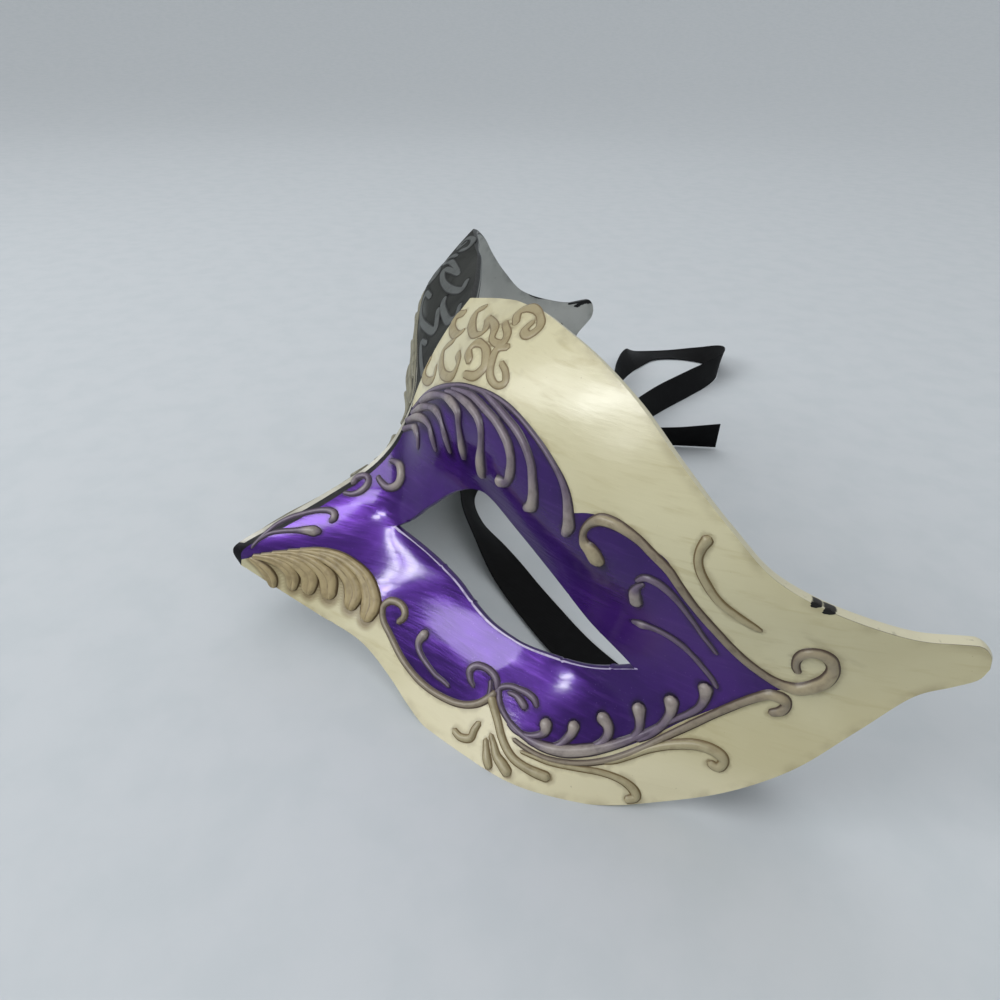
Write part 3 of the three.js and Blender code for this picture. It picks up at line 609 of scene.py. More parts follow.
def stroke_mesh(path, rise, share, side, section):
    """Corners, faces and the shade of each corner (0 on top, 1 at the foot)."""
    flat, width, cap = stroke_line(path, share)
    height = np.minimum(width * rise, STROKE_HIGHEST) * cap
    heading = unit(np.gradient(face_points(flat), axis=0))
    normal = face_normals(flat)
    across = np.cross(heading, normal)
    rows = []
    for reach, extra, lift, _ in section:
        offset = (width / 2 * reach + extra) * cap
        places = flat + across[:, [0, 2]] * offset[:, None]
        places[:, 0] = np.maximum(places[:, 0], STROKE_FROM_CENTRE)
        rows.append(face_points(places) + normal * (height * lift + STROKE_FILM)[:, None])
    for row in (rows[-1], rows[0]):
        rows.append(row - normal * STROKE_SUNK)
    rings = np.stack(rows, axis=1)
    rings[..., 2] = np.maximum(rings[..., 2], STROKE_FROM_TABLE)
    rings[..., 0] *= side
    shade = np.array([row[3] for row in section] + [1, 1])
    notes = np.stack(np.broadcast_arrays(shade[None], width[:, None] / GAP_UNIT), axis=-1)
    return rings.reshape(-1, 3), tube_faces(len(flat), rings.shape[1]), notes.reshape(-1, 2)


def tube_faces(rings, sides):
    """Quads around a run of rings of corners, with both ends closed."""
    faces = []
    for i in range(rings - 1):
        for k in range(sides):
            after = (k + 1) % sides
            here = i * sides
            faces.append((here + k, here + after, here + sides + after, here + sides + k))
    faces.append(tuple(range(sides)))
    faces.append(tuple((rings - 1) * sides + k for k in reversed(range(sides))))
    return faces


# Meshes
def new_object(name, corners, faces, materials, kinds, notes, crease):
    """A mesh object from corners in the drawings' millimetres.

    The kinds choose each face's material, the notes are up to four numbers for each corner that
    the paint reads, and edges that turn by more than the crease stay sharp.
    """
    placed = np.asarray(corners, float) * MM + np.array([CENTRE_X, CENTRE_Y, 0])
    mesh = bpy.data.meshes.new(name)
    mesh.from_pydata(placed.tolist(), [], [tuple(int(k) for k in face) for face in faces])
    for material in materials:
        mesh.materials.append(material)
    mesh.polygons.foreach_set("material_index", np.asarray(kinds, np.int32))
    mesh.polygons.foreach_set("use_smooth", np.ones(len(mesh.polygons), bool))
    shape = bmesh.new()
    shape.from_mesh(mesh)
    bmesh.ops.recalc_face_normals(shape, faces=shape.faces)
    shape.to_mesh(mesh)
    shape.free()
    table = np.zeros((len(mesh.vertices), 4))
    table[:, :notes.shape[1]] = notes
    layer = mesh.color_attributes.new("paint", "FLOAT_COLOR", "POINT")
    layer.data.foreach_set("color", table.ravel())
    mesh.set_sharp_from_angle(angle=math.radians(crease))
    item = bpy.data.objects.new(name, mesh)
    bpy.context.scene.collection.objects.link(item)
    return item


def gap_to_strokes(points):
    """Distance from each point to the edge of the nearest stroke, in millimetres."""
    lines = [stroke_line(path, share) for path, _, share, _, _ in relief_jobs()]
    targets = np.vstack([face_points(flat[::2]) for flat, _, _ in lines])
    reach = np.concatenate([(width * cap)[::2] / 2 for _, width, cap in lines])
    nearest = np.full(len(points), 1e9)
    for start in range(0, len(points), BATCH):
        part = points[start:start + BATCH]
        distance = np.sqrt(((part[:, None] - targets[None]) ** 2).sum(-1))
        nearest[start:start + BATCH] = (distance - reach).min(1)
    return np.maximum(nearest, 0)


# Order of the shell's materials
(
    PURPLE, CREAM, LINE, PEWTER, SILVER, RIM_NEAR, RIM_FAR, LID_NEAR, LID_FAR, INSIDE, LID_LINE,
) = range(11)


class ShellBuilder:
    """Gathers the rows of points of both halves and joins those that meet at the centre line."""

    def __init__(self):
        self.points = []
        self.paint = []
        self.faces = []
        self.kinds = []
        self.count = 0

    def add_rows(self, rows, paint):
        ids = self.count + np.arange(rows[..., 0].size).reshape(rows.shape[:2])
        self.points.append(rows.reshape(-1, 3))
        self.paint.append(paint.reshape(-1, 3))
        self.count += ids.size
        return ids

    def join(self, ids, kind_of, joined=None):
        """Quads between the rows, in all columns or in the joined ones."""
        rows, columns = ids.shape
        for r in range(rows - 1):
            for c in range(columns) if joined is None else np.flatnonzero(joined):
                after = (c + 1) % columns
                self.faces.append((ids[r, c], ids[r, after], ids[r + 1, after], ids[r + 1, c]))
                self.kinds.append(kind_of(r, c))

    def merged(self):
        points = np.vstack(self.points)
        keys = np.round(points, 4)
        _, first, inverse = np.unique(keys, axis=0, return_index=True, return_inverse=True)
        inverse = inverse.ravel()
        faces = []
        kinds = []
        for face, kind in zip(self.faces, self.kinds):
            corners = []
            for corner in face:
                if inverse[corner] not in corners:
                    corners.append(inverse[corner])
            if len(corners) > 2:
                faces.append(tuple(corners))
                kinds.append(kind)
        return points[first], faces, kinds, np.vstack(self.paint)[first]


def rim_laps(places):
    """How far black paint laps over the far rim at each place, in millimetres."""
    laps = np.zeros(len(places))
    for middle, spread, reach in FAR_LAPS:
        bump = reach * np.exp(-((places[:, 0] - middle) / spread) ** 4)
        laps = np.where(places[:, 1] > LAPS_START, np.maximum(laps, bump), laps)
    return laps


def gap_to_rim(face):
    """Distance from each point of the face to the outer edge, and the nearest column there."""
    rim = face[-1]
    gap = np.empty(face.shape[:2])
    nearest = np.empty(face.shape[:2], int)
    for ring, points in enumerate(face):
        distance = np.linalg.norm(points[:, None] - rim[None], axis=-1)
        gap[ring] = distance.min(1)
        nearest[ring] = distance.argmin(1)
    return gap, nearest


def below_corners(eye):
    """Which places of the eye opening lie on its lower lid."""
    near = np.array(LOWER_LID[-1])
    far = np.array(LOWER_LID[0])
    line = near[2] + (eye[:, 0] - near[0]) * (far[2] - near[2]) / (far[0] - near[0])
    return eye[:, 1] < line + LID_SLACK


def bare_rim(places):
    """How bare the cut edge is at each place of the near rim, beside the chips."""
    bare = np.zeros(len(places))
    for across, up, size in RIM_CHIPS:
        distance = np.hypot(places[:, 0] - across, places[:, 1] - up)
        bare = np.maximum(bare, np.exp(-(distance / (1.1 * size)) ** 4))
    return bare


def face_kinds(flat, side, surround):
    """Gives the material of each quad of the face from its ring and column."""
    on_ridge = (flat[-1, :, 0] < ON_CENTRE) & (flat[-1, :, 1] < RIDGE_LINE_TOP)
    lower_lid = below_corners(flat[0])

    def kind(r, c):
        if side < 0:
            return SILVER if r < surround else LINE if on_ridge[c] else PEWTER
        if r < surround:
            return LID_LINE if r < LID_LINE_RINGS and lower_lid[c] else PURPLE
        if on_ridge[c]:
            black = r < surround + RIDGE_LINE_RINGS or flat[-1, c, 1] < BLACK_TIP_TOP
            return LINE if black else SILVER
        return CREAM

    return kind


def edge_rows(face, inside, away):
    """Rows over a cut edge from the face to the inside, rounded a little outwards."""
    rows = [face]
    for k in range(1, EDGE_ROWS):
        share = k / EDGE_ROWS
        bulge = EDGE_ROUNDING * math.sin(math.pi * share) ** EDGE_FULLNESS
        rows.append(face + (inside - face) * share + away * bulge)
    rows = np.array(rows + [inside])
    rows[..., 2] = np.maximum(rows[..., 2], 0)
    return rows


def add_edge(builder, rows, marks, kind, joined=None):
    paint = np.ones(rows.shape)
    paint[..., 1] = marks
    paint[..., 2] = (np.arange(EDGE_ROWS + 1) / EDGE_ROWS)[:, None]
    builder.join(builder.add_rows(rows, paint), lambda r, c: kind, joined)


def add_half(builder, side, rings):
    """Face, inside and cut edges of one half, with the numbers that their paint reads."""
    flat = ring_places(rings)
    face = face_points(flat)
    flip = np.array([side, 1, 1])
    gap = gap_to_strokes(face.reshape(-1, 3)).reshape(flat.shape[:2])
    rim_gap, nearest = gap_to_rim(face)
    paint = np.stack([gap / GAP_UNIT, rim_gap / RIM_UNIT, flat[..., 0] / ACROSS_UNIT], axis=-1)
    builder.join(builder.add_rows(face * flip, paint), face_kinds(flat, side, rings[0]))

    marks = rim_laps(flat[-1]) if side < 0 else bare_rim(flat[-1])
    picks = np.unique(np.linspace(0, len(flat) - 1, INSIDE_RINGS + 1).round().astype(int))
    inside = inner_points(flat[picks])
    inside[..., 2] = np.maximum(inside[..., 2], 0)
    paint = np.ones(inside.shape)
    paint[..., 1] = rim_gap[picks] / RIM_UNIT
    paint[..., 2] = marks[nearest[picks]] / RIM_UNIT if side < 0 else 0
    builder.join(builder.add_rows(inside * flip, paint), lambda r, c: INSIDE)

    lid_kind, rim_kind = (LID_NEAR, RIM_NEAR) if side > 0 else (LID_FAR, RIM_FAR)
    lid = edge_rows(face[0], inside[0], unit(face[0] - face[1]))
    add_edge(builder, lid * flip, 0, lid_kind)
    on_centre = flat[-1, :, 0] < ON_CENTRE
    away = unit(face[-1] - face[-2])
    away[on_centre, 0] = 0
    rim = edge_rows(face[-1], inside[-1], away)
    joined = ~(on_centre & np.roll(on_centre, -1))
    add_edge(builder, rim * flip, np.minimum(marks, 1), rim_kind, joined)


def make_shell(materials):
    builder = ShellBuilder()
    add_half(builder, 1, NEAR_RINGS)
    add_half(builder, -1, FAR_RINGS)
    points, faces, kinds, paint = builder.merged()
    return new_object("shell", points, faces, materials, kinds, paint, SHELL_CREASE)


def chip_mesh(across, up, size):
    """A thin ragged patch on the near rim where the paint has come away."""
    turns = np.arange(CHIP_SIDES) * 2 * math.pi / CHIP_SIDES
    ragged = size * (1 + 0.16 * np.sin(3 * turns + across) + 0.1 * np.cos(5 * turns))
    flat = np.stack([across + 0.75 * ragged * np.cos(turns), up + ragged * np.sin(turns)], axis=1)
    flat = np.vstack([flat, [(across, up)]])
    normal = face_normals(flat)
    top = face_points(flat) + normal * CHIP_FILM
    under = face_points(flat) - normal * CHIP_SUNK
    low = CHIP_SIDES + 1
    faces = []
    for k in range(CHIP_SIDES):
        after = (k + 1) % CHIP_SIDES
        faces.append((CHIP_SIDES, k, after))
        faces.append((low + CHIP_SIDES, low + after, low + k))
        faces.append((k, low + k, low + after, after))
    return np.vstack([top, under]), faces, np.ones((2 * low, 2))


# Order of the relief's materials
ON_PURPLE, ON_CREAM, ON_SILVER, ON_PEWTER, FAN_PAINT, BARE, ON_EDGE, CURL_PAINT = range(8)


def relief_jobs():
    """Every stroke with its rise, width share and materials on the near and the far half."""
    over_eye, hooked, under_drops, outer_line, cheek_edge = EDGES
    on_purple = COMB + SCROLLS + DROPS + [over_eye, under_drops]
    jobs = [(path, STROKE_RISE, 1, ON_PURPLE, ON_SILVER) for path in on_purple]
    jobs += [(path, STROKE_RISE, 1, ON_EDGE, ON_SILVER) for path in (hooked, outer_line, cheek_edge)]
    jobs += [(path, FAN_RISE, FAN_SHARE, FAN_PAINT, ON_PEWTER) for path in FAN]
    jobs += [(path, STROKE_RISE, 1, ON_CREAM, ON_PEWTER) for path in CHEEK]
    jobs += [(path, CURL_RISE, 1, CURL_PAINT, ON_PEWTER) for path in CURLS]
    return jobs


def make_relief(materials):
    """All strokes of both halves as one piece, coloured by the ground each lies on."""
    pieces = []
    for path, rise, share, near_kind, far_kind in relief_jobs():
        section = LEAF_ROWS if near_kind == FAN_PAINT else STROKE_ROWS
        pieces.append((stroke_mesh(path, rise, share, 1, section), near_kind))
        pieces.append((stroke_mesh(path, rise, share, -1, section), far_kind))
    pieces += [(chip_mesh(*chip), BARE) for chip in RIM_CHIPS]
    faces = []
    kinds = []
    count = 0
    for (points, quads, _), kind in pieces:
        faces += [tuple(count + k for k in quad) for quad in quads]
        kinds += [kind] * len(quads)
        count += len(points)
    corners, notes = (np.vstack([piece[0][column] for piece in pieces]) for column in (0, 2))
    return new_object("relief", corners, faces, materials, kinds, notes, RELIEF_CREASE)


# Ribbons: half of the section's top, each corner (share of the half width, of the half thickness)
RIBBON_SIDE = [(-1.0, 0.0), (-0.985, 0.62), (-0.95, 0.9), (-0.9, 0.6), (-0.5, 0.55)]


def make_ribbon(name, route, material):
    centre = through([point for point, _ in route], RIBBON_SPAN)
    width = through([direction for _, direction in route], RIBBON_SPAN)
    along = lengths_along(centre)
    at = np.linspace(0, along[-1], int(along[-1] / RIBBON_STEP))
    centre = sampled(centre, along, at)
    width = sampled(width, along, at)
    heading = unit(np.gradient(centre, axis=0))
    width = unit(width - heading * (width * heading).sum(1)[:, None])
    normal = np.cross(heading, width)
    half = RIBBON_WIDTH / 2
    thick = RIBBON_THICKNESS / 2
    top = RIBBON_SIDE + [(0, 0.55)] + mirrored(RIBBON_SIDE, (-1, 1))
    section = top + mirrored(top[1:-1], (1, -1))
    rings = np.stack([centre + width * half * w + normal * thick * h for w, h in section], axis=1)
    faces = tube_faces(len(at), len(section))
    notes = np.zeros((len(at), len(section), 2))
    notes[..., 0] = at[:, None] / LENGTH_UNIT
    notes[..., 1] = [w for w, _ in section]
    kinds = [0] * len(faces)
    corners = rings.reshape(-1, 3)
    item = new_object(name, corners, faces, [material], kinds, notes.reshape(-1, 2), RIBBON_CREASE)
    return item


# Paints
def linear(colour):
    """A colour of 0 to 255 screen values as the shader's linear ones; a socket stays as it is."""
    if isinstance(colour, bpy.types.NodeSocket):
        return colour
    channels = []
    for value in colour:
        share = value / 255
        channels.append(share / 12.92 if share <= 0.04045 else ((share + 0.055) / 1.055) ** 2.4)
    return (*channels, 1)


class Paint:
    """A material with a Principled shader and short ways to feed it."""

    def __init__(self, name, rough, metal=0.0, coat=0.0, coat_rough=0.1, specular=0.5):
        self.material = bpy.data.materials.new(name)
        self.material.use_nodes = True
        self.tree = self.material.node_tree
        self.shader = self.tree.nodes["Principled BSDF"]
        self.set("Roughness", rough)
        self.set("Metallic", metal)
        self.set("Specular IOR Level", specular)
        self.set("Coat Weight", coat)
        self.set("Coat Roughness", coat_rough)

    def feed(self, socket, value):
        if isinstance(value, bpy.types.NodeSocket):
            self.tree.links.new(value, socket)
        else:
            socket.default_value = value

    def set(self, name, value):
        self.feed(self.shader.inputs[name], value)

    def node(self, kind, **inputs):
        item = self.tree.nodes.new(kind)
        for name, value in inputs.items():
            self.feed(item.inputs[name], value)
        return item

    def corners(self):
        """The numbers stored for each corner, as three sockets."""
        layer = self.tree.nodes.new("ShaderNodeVertexColor")
        layer.layer_name = "paint"
        split = self.node("ShaderNodeSeparateColor", Color=layer.outputs["Color"])
        return split.outputs["Red"], split.outputs["Green"], split.outputs["Blue"]

    def place(self):
        return self.tree.nodes.new("ShaderNodeTexCoord").outputs["Object"]

    def height(self):
        """Height above the table, in metres."""
        return self.node("ShaderNodeSeparateXYZ", Vector=self.place()).outputs["Z"]

    def zone(self, across, heights, places):
        """A soft zone of the face, full past the second height and the second place across."""
        return self.times(self.span(self.height(), *heights), self.span(across, *places))

    def noise(self, scale, detail, stretch=(1, 1, 1), warp=0.0):
        place = self.node("ShaderNodeMapping", Vector=self.place(), Scale=stretch).outputs["Vector"]
        item = self.node("ShaderNodeTexNoise", Vector=place, Scale=scale, Detail=detail)
        self.feed(item.inputs["Roughness"], NOISE_ROUGHNESS)
        self.feed(item.inputs["Distortion"], warp)
        return item.outputs["Fac"]

    def span(self, value, low, high, to_low=0.0, to_high=1.0):
        item = self.node("ShaderNodeMapRange", Value=value)
        item.interpolation_type = "SMOOTHSTEP"
        limits = {"From Min": low, "From Max": high, "To Min": to_low, "To Max": to_high}
        for name, limit in limits.items():
            self.feed(item.inputs[name], limit)
        return item.outputs["Result"]

    def specks(self, scale, detail, low, high, most=1.0):
        """Patches that start where a noise passes low and are full where it passes high."""
        return self.span(self.noise(scale, detail), low, high, 0.0, most)

    def math(self, operation, first, second=0.0, clamp=True):
        item = self.tree.nodes.new("ShaderNodeMath")
        item.operation = operation
        item.use_clamp = clamp
        self.feed(item.inputs[0], first)
        self.feed(item.inputs[1], second)
        return item.outputs["Value"]

    def times(self, first, second):
        return self.math("MULTIPLY", first, second)

    def mix(self, share, first, second):
        item = self.tree.nodes.new("ShaderNodeMix")
        item.data_type = "RGBA"
        for slot, value in ((0, share), (6, linear(first)), (7, linear(second))):
            self.feed(item.inputs[slot], value)
        return item.outputs[2]

    def bump(self, height, strength, distance, under=None):
        item = self.node("ShaderNodeBump", Strength=strength, Distance=distance, Height=height)
        if under is not None:
            self.feed(item.inputs["Normal"], under)
        return item.outputs["Normal"]

    def finish(self, colour, rough=None, normal=None, coat_normal=None):
        self.set("Base Color", linear(colour))
        for name, value in (("Roughness", rough), ("Normal", normal), ("Coat Normal", coat_normal)):
            if value is not None:
                self.set(name, value)
        return self.material


def stroke_wash_and_shade(paint, gap, colour, ground, line, halo):
    """Dark beside the strokes with a soft stain around: part antiquing wash, part painted shade."""
    patches = paint.noise(260, 4)
    reach = paint.span(patches, 0.3, 0.7, 0.05, 0.18)
    stain = paint.times(paint.span(gap, reach, 0.0), halo)
    ground = paint.mix(stain, ground, colour)
    edge = paint.span(paint.noise(700, 3), 0.3, 0.7, 0.022, 0.045)
    crisp = paint.times(paint.span(gap, edge, 0.01), line)
    return paint.mix(crisp, ground, colour)


def cream_paint(name, light, stain, dark):
    paint = Paint(name, 0.4, coat=0.25, coat_rough=0.24, specular=0.3)
    gap, edge, across = paint.corners()
    clouds = paint.noise(24, 4, warp=0.3)
    streaks = paint.noise(75, 6, stretch=(1, 1, 7), warp=0.25)
    ground = paint.mix(paint.span(clouds, 0.35, 0.7, 0.0, 0.6), light, stain)
    ground = paint.mix(paint.span(streaks, 0.5, 0.74, 0.0, 0.75), ground, stain)
    smears = paint.noise(38, 4, stretch=(1, 1, 3), warp=0.8)
    ground = paint.mix(paint.span(smears, 0.62, 0.78, 0.0, 0.3), ground, dark)
    # Painted light: the lower cheek is lightened where light bounced from the table falls.
    pale = paint.zone(across, *LIT_CHEEK_ZONE)
    ground = paint.mix(paint.times(pale, 0.6), ground, (228, 219, 186))
    fan = paint.times(paint.zone(across, *UNDER_NOSE), paint.span(gap, 0.2, 0.06))
    ground = paint.mix(paint.times(fan, 0.65), ground, (140, 121, 82))
    # Dark beside the strokes: part antiquing wash, part painted shade.
    ground = stroke_wash_and_shade(paint, gap, dark, ground, 0.65, 0.45)
    ground = paint.mix(paint.specks(1300, 2, 0.74, 0.8, 0.35), ground, dark)
    rim = paint.times(paint.span(edge, 0.045, 0.0), paint.specks(150, 3, 0.4, 0.7))
    ground = paint.mix(paint.times(rim, 0.35), ground, dark)
    rough = paint.span(clouds, 0.3, 0.7, 0.28, 0.42)
    broad = paint.bump(paint.noise(45, 4), 0.25, 0.0014)
    fine = paint.bump(streaks, 0.25, 0.0004, broad)
    return paint.finish(ground, rough, fine, broad)


def purple_ground(paint, gap):
    clouds = paint.noise(30, 4, warp=0.5)
    brush = paint.noise(95, 6, stretch=(1, 1, 9), warp=0.35)
    ground = paint.mix(paint.span(clouds, 0.3, 0.7), (72, 34, 120), (48, 20, 88))
    ground = paint.mix(paint.span(brush, 0.5, 0.78, 0.0, 0.4), ground, (88, 52, 134))
    # Dark beside the strokes: part antiquing wash, part painted shade.
    ground = stroke_wash_and_shade(paint, gap, (24, 16, 30), ground, 0.7, 0.5)
    return paint.mix(paint.specks(2600, 1, 0.72, 0.8, 0.35), ground, (140, 110, 180)), brush


def purple_paint():
    paint = Paint("purple", 0.2, metal=0.42, coat=0.5, coat_rough=0.1, specular=0.08)
    paint.set("Specular Tint", (0.5, 0.35, 0.7, 1))
    gap, _, across = paint.corners()
    ground, brush = purple_ground(paint, gap)
    # Among the comb strokes the ground darkens: part antiquing wash, part painted shade under the brow.
    comb = paint.zone(across, *BEHIND_COMB)
    comb_wash_and_shade = paint.times(comb, paint.span(gap, 0.3, 0.05))
    ground = paint.mix(paint.times(comb_wash_and_shade, 0.85), ground, (30, 22, 34))
    paint.set("Coat Weight", paint.span(comb, 0.0, 1.0, 0.5, 0.15))
    rough = paint.span(brush, 0.3, 0.7, 0.17, 0.27)
    broad = paint.bump(paint.noise(50, 2), 0.08, 0.001)
    fine = paint.bump(brush, 0.2, 0.0004, broad)
    return paint.finish(ground, rough, fine, paint.bump(brush, 0.05, 0.0003))


def pewter_paint():
    """Outside of the far half: black by its edges, grey away from them as painted reflection; worn specks.
    """
    paint = Paint("pewter", 0.6, specular=0.06)
    gap, edge, _ = paint.corners()
    clouds = paint.noise(45, 5, warp=0.5)
    # Painted reflection: grey away from the edges and the centre line, nearly black beside them.
    ground = paint.mix(paint.span(clouds, 0.35, 0.68), (136, 140, 137), (104, 108, 106))
    dark = paint.mix(paint.span(clouds, 0.35, 0.68), (58, 59, 56), (42, 43, 41))
    ground = paint.mix(paint.span(edge, 0.52, 0.34), ground, dark)
    worn = paint.specks(260, 4, 0.6, 0.8, 0.5)
    ground = paint.mix(paint.times(worn, paint.span(edge, 0.3, 0.6)), ground, (150, 153, 150))
    # Dark beside the strokes: part antiquing wash, part painted shade.
    ground = stroke_wash_and_shade(paint, gap, (8, 8, 9), ground, 0.9, 0.5)
    rough = paint.span(clouds, 0.3, 0.7, 0.5, 0.7)
    return paint.finish(ground, rough, paint.bump(paint.noise(90, 4), 0.3, 0.001))


def relief_paint(name, top, foot, thin=None, rough=0.42):
    """Relief: the top takes the light colour, the foot antiquing wash and painted shade, thin strokes a
    third.
    """
    paint = Paint(name, rough, coat=0.1, coat_rough=0.25, specular=0.25)
    shade, size, _ = paint.corners()
    if thin is not None:
        top = paint.mix(paint.span(size, 0.12, 0.24), thin, top)
    patches = paint.noise(380, 4)
    start = paint.span(patches, 0.3, 0.7, 0.25, 0.7)
    share = paint.span(shade, start, 1.0)
    body = paint.mix(paint.span(patches, 0.42, 0.75, 0.0, 0.4), top, foot)
    colour = paint.mix(share, body, foot)
    grain = paint.bump(paint.noise(1300, 3), 0.25, 0.0002)
    return paint.finish(colour, None, grain)


def line_paint():
    paint = Paint("black_line", 0.5, specular=0.12)
    worn = paint.specks(500, 3, 0.55, 0.72, 0.5)
    colour = paint.mix(worn, (16, 14, 20), (60, 50, 62))
    return paint.finish(colour, None, paint.bump(paint.noise(300, 3), 0.2, 0.0004))


def cut_edge_paint(name, light, dark, start):
    """Cut edge: the face's paint runs over it and stops short of the inside."""
    paint = Paint(name, 0.4, coat=0.2, coat_rough=0.2, specular=0.3)
    _, bare, depth = paint.corners()
    patch = paint.span(paint.noise(110, 4), 0.35, 0.65, start, start + 0.12)
    colour = paint.mix(paint.span(depth, patch, 1.0), light, dark)
    colour = paint.mix(paint.specks(700, 3, 0.66, 0.76, 0.3), colour, dark)
    colour = paint.mix(paint.span(bare, 0.35, 0.65), colour, (30, 26, 20))
    return paint.finish(colour, None, paint.bump(paint.noise(600, 3), 0.25, 0.0004))


def lid_line_paint():
    """The pale line along the lower lid: part worn paint, part painted highlight."""
    paint = Paint("lid_line", 0.4, coat=0.3, coat_rough=0.15, specular=0.3)
    worn = paint.specks(260, 4, 0.52, 0.68, 0.6)
    return paint.finish(paint.mix(worn, (184, 172, 202), (92, 70, 130)))


def lid_paint():
    """Edge of the eye opening: purple that thins to a pale line, part worn paint, part painted highlight.
    """
    paint = Paint("near_lid", 0.34, metal=0.3, coat=0.4, coat_rough=0.16, specular=0.2)
    _, _, depth = paint.corners()
    ground, _ = purple_ground(paint, 1.0)
    start = paint.span(paint.noise(160, 3), 0.35, 0.65, 0.45, 0.75)
    end = paint.math("ADD", start, 0.25)
    # The pale towards the inside is partly a painted highlight.
    colour = paint.mix(paint.span(depth, start, end, 0.0, 0.6), ground, (176, 168, 190))
    return paint.finish(colour, None, paint.bump(paint.noise(600, 3), 0.25, 0.0004))


def far_rim_paint():
    """Rim of the far half: the grey of the inside, with black lapping over it in two places."""
    paint = Paint("far_rim", 0.45, specular=0.3)
    _, lap, depth = paint.corners()
    wobble = paint.span(paint.noise(300, 3), 0.3, 0.7, -0.08, 0.1)
    line = paint.math("SUBTRACT", paint.math("ADD", lap, wobble), depth)
    rim = paint.mix(paint.span(depth, 0.55, 0.75), (38, 39, 38), (150, 152, 147))
    colour = paint.mix(paint.span(line, 0.0, 0.05), rim, (10, 10, 10))
    return paint.finish(colour, None, paint.bump(paint.noise(600, 3), 0.25, 0.0004))


def inside_paint():
    paint = Paint("inside", 0.6, specular=0.3)
    _, edge, lap = paint.corners()
    clouds = paint.noise(35, 5, warp=0.4)
    ground = paint.mix(paint.span(clouds, 0.35, 0.68), (188, 189, 184), (172, 173, 168))
    fibres = paint.noise(260, 6, stretch=(1, 1, 3))
    ground = paint.mix(paint.span(fibres, 0.6, 0.8, 0.0, 0.35), ground, (128, 128, 122))
    spray = paint.times(paint.span(edge, 0.06, 0.0), paint.specks(200, 4, 0.4, 0.7))
    ground = paint.mix(paint.times(spray, 0.35), ground, (62, 62, 60))
    ragged = paint.times(lap, paint.span(paint.noise(400, 3), 0.3, 0.7, 0.7, 1.0))
    lapped = paint.span(paint.math("SUBTRACT", ragged, edge), 0.0, 0.004)
    ground = paint.mix(lapped, ground, (9, 9, 9))
    paper = paint.bump(paint.noise(140, 5), 0.3, 0.0012)
    return paint.finish(ground, None, paint.bump(fibres, 0.25, 0.0005, paper))


def satin_cloth():
    paint = Paint("satin", 0.62, specular=0.1)
    along, _, _ = paint.corners()
    ribs = paint.math("SINE", paint.math("MULTIPLY", along, RIB_TURN, clamp=False), clamp=False)
    colour = paint.mix(paint.specks(300, 3, 0.4, 0.7), (3, 3, 4), (7, 7, 9))
    paint.set("Sheen Weight", 0.015)
    paint.set("Sheen Roughness", 0.4)
    paint.set("Anisotropic", 0.4)
    crease = paint.bump(paint.noise(60, 3), 0.3, 0.001)
    return paint.finish(colour, None, paint.bump(ribs, 0.12, 0.00015, crease))


# Stage
def make_floor():
    points = []
    for radius, height in FLOOR_PROFILE:
        for k in range(FLOOR_SIDES):
            turn = 2 * math.pi * k / FLOOR_SIDES
            points.append((radius * math.cos(turn), radius * math.sin(turn), height))
    points.append((0, 0, 0))
    faces = []
    for k in range(FLOOR_SIDES):
        after = (k + 1) % FLOOR_SIDES
        faces.append((len(points) - 1, k, after))
        for low in range(0, (len(FLOOR_PROFILE) - 1) * FLOOR_SIDES, FLOOR_SIDES):
            high = low + FLOOR_SIDES
            faces.append((low + k, high + k, high + after, low + after))
    mesh = bpy.data.meshes.new("floor")
    mesh.from_pydata(points, [], faces)
    mesh.polygons.foreach_set("use_smooth", np.ones(len(faces), bool))
    paint = Paint("floor", 0.9, specular=0.0)
    colour = paint.mix(paint.specks(60, 3, 0.35, 0.7), (206, 210, 213), (202, 207, 210))
    mesh.materials.append(paint.finish(colour, None, paint.bump(paint.noise(30, 5), 0.1, 0.002)))
    floor = bpy.data.objects.new("floor", mesh)
    bpy.context.scene.collection.objects.link(floor)


def area_light(name, azimuth, elevation, distance, size, power, glossy=False):
    """A light seen from the mask at that azimuth (0 in front of its face) and elevation.

    A glossy one shows only as a reflection, the way a small bright window does.
    """
    data = bpy.data.lights.new(name, "AREA")
    data.shape = "RECTANGLE"
    data.size, data.size_y = size
    data.energy = power
    data.color = LIGHT_COLOUR
    light = bpy.data.objects.new(name, data)
    turn = math.radians(azimuth)
    rise = math.radians(elevation)
    level = math.cos(rise)
    away = Vector((math.sin(turn) * level, -math.cos(turn) * level, math.sin(rise)))
    light.location = in_row(LIGHTS_AIM) + away * distance
    light.rotation_euler = away.to_track_quat("Z", "Y").to_euler()
    light.visible_diffuse = not glossy
    light.visible_glossy = glossy
    bpy.context.scene.collection.objects.link(light)


def bright_window(name, azimuth, elevation, size, radiance):
    """A window that shows in the gloss, fading towards its edges."""
    for step, share in enumerate(WINDOW_FADE):
        width, height = (share * length for length in size)
        power = math.pi * width * height * radiance / len(WINDOW_FADE)
        place = (azimuth, elevation, PANE_DISTANCE)
        area_light(f"{name}_{step}", *place, (width, height), power, True)


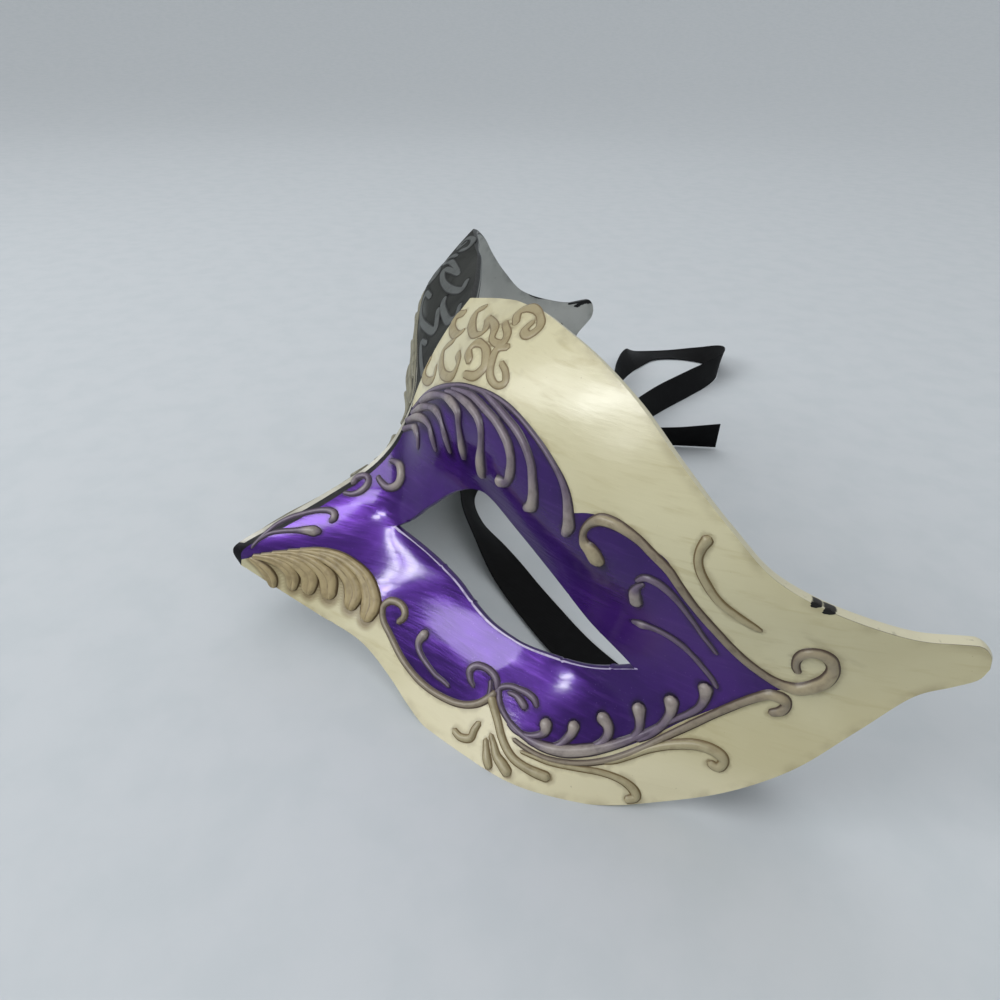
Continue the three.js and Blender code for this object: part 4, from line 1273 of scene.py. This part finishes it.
def make_light():
    for light in SOFT_LIGHTS:
        area_light(*light)
    for window in WINDOWS:
        bright_window(*window)
    for name, azimuth, elevation, size, power in PANES:
        area_light(name, azimuth, elevation, PANE_DISTANCE, size, power, True)
    world = bpy.data.worlds.new("world")
    world.use_nodes = True
    background = world.node_tree.nodes["Background"]
    background.inputs["Color"].default_value = SKY_COLOUR
    background.inputs["Strength"].default_value = SKY_STRENGTH
    bpy.context.scene.world = world
    bpy.context.scene.view_settings.view_transform = "Standard"
    bpy.context.scene.view_settings.look = "None"


make_camera()
shell = make_shell([
    purple_paint(),
    cream_paint("cream", (211, 203, 166), (191, 180, 138), (124, 106, 70)),
    line_paint(),
    pewter_paint(),
    cream_paint("silver", (186, 182, 166), (166, 161, 140), (74, 68, 54)),
    cut_edge_paint("near_rim", (208, 202, 174), (96, 90, 80), 0.72),
    far_rim_paint(),
    lid_paint(),
    cut_edge_paint("far_lid", (150, 148, 132), (60, 58, 52), 0.4),
    inside_paint(),
    lid_line_paint(),
])
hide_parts("mask_shell")
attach(shell, "root")

relief = make_relief([
    relief_paint("taupe_on_purple", (160, 149, 141), (52, 40, 54), (110, 96, 114)),
    relief_paint("tan_on_cream", (170, 159, 126), (112, 94, 60)),
    relief_paint("olive_on_silver", (132, 128, 108), (44, 42, 34)),
    relief_paint("grey_on_pewter", (80, 83, 81), (24, 25, 24), None, 0.6),
    relief_paint("fan_tan", (172, 154, 114), (84, 66, 38)),
    relief_paint("bare_ground", (34, 29, 23), (18, 15, 12), None, 0.7),
    relief_paint("tan_on_edge", (166, 153, 124), (76, 60, 50), (140, 128, 110)),
    relief_paint("curl_tan", (162, 148, 112), (118, 100, 66)),
])
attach(relief, "root")

satin = satin_cloth()
for name, route, length in (
    ("ribbon_near", LEFT_TIE, LEFT_LENGTH),
    ("ribbon_far", RIGHT_TIE, RIGHT_LENGTH),
):
    tie = make_ribbon(name, route, satin)
    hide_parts("ribbon_left" if name == "ribbon_near" else "ribbon_right")
    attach(tie, "root")

make_floor()
make_light()
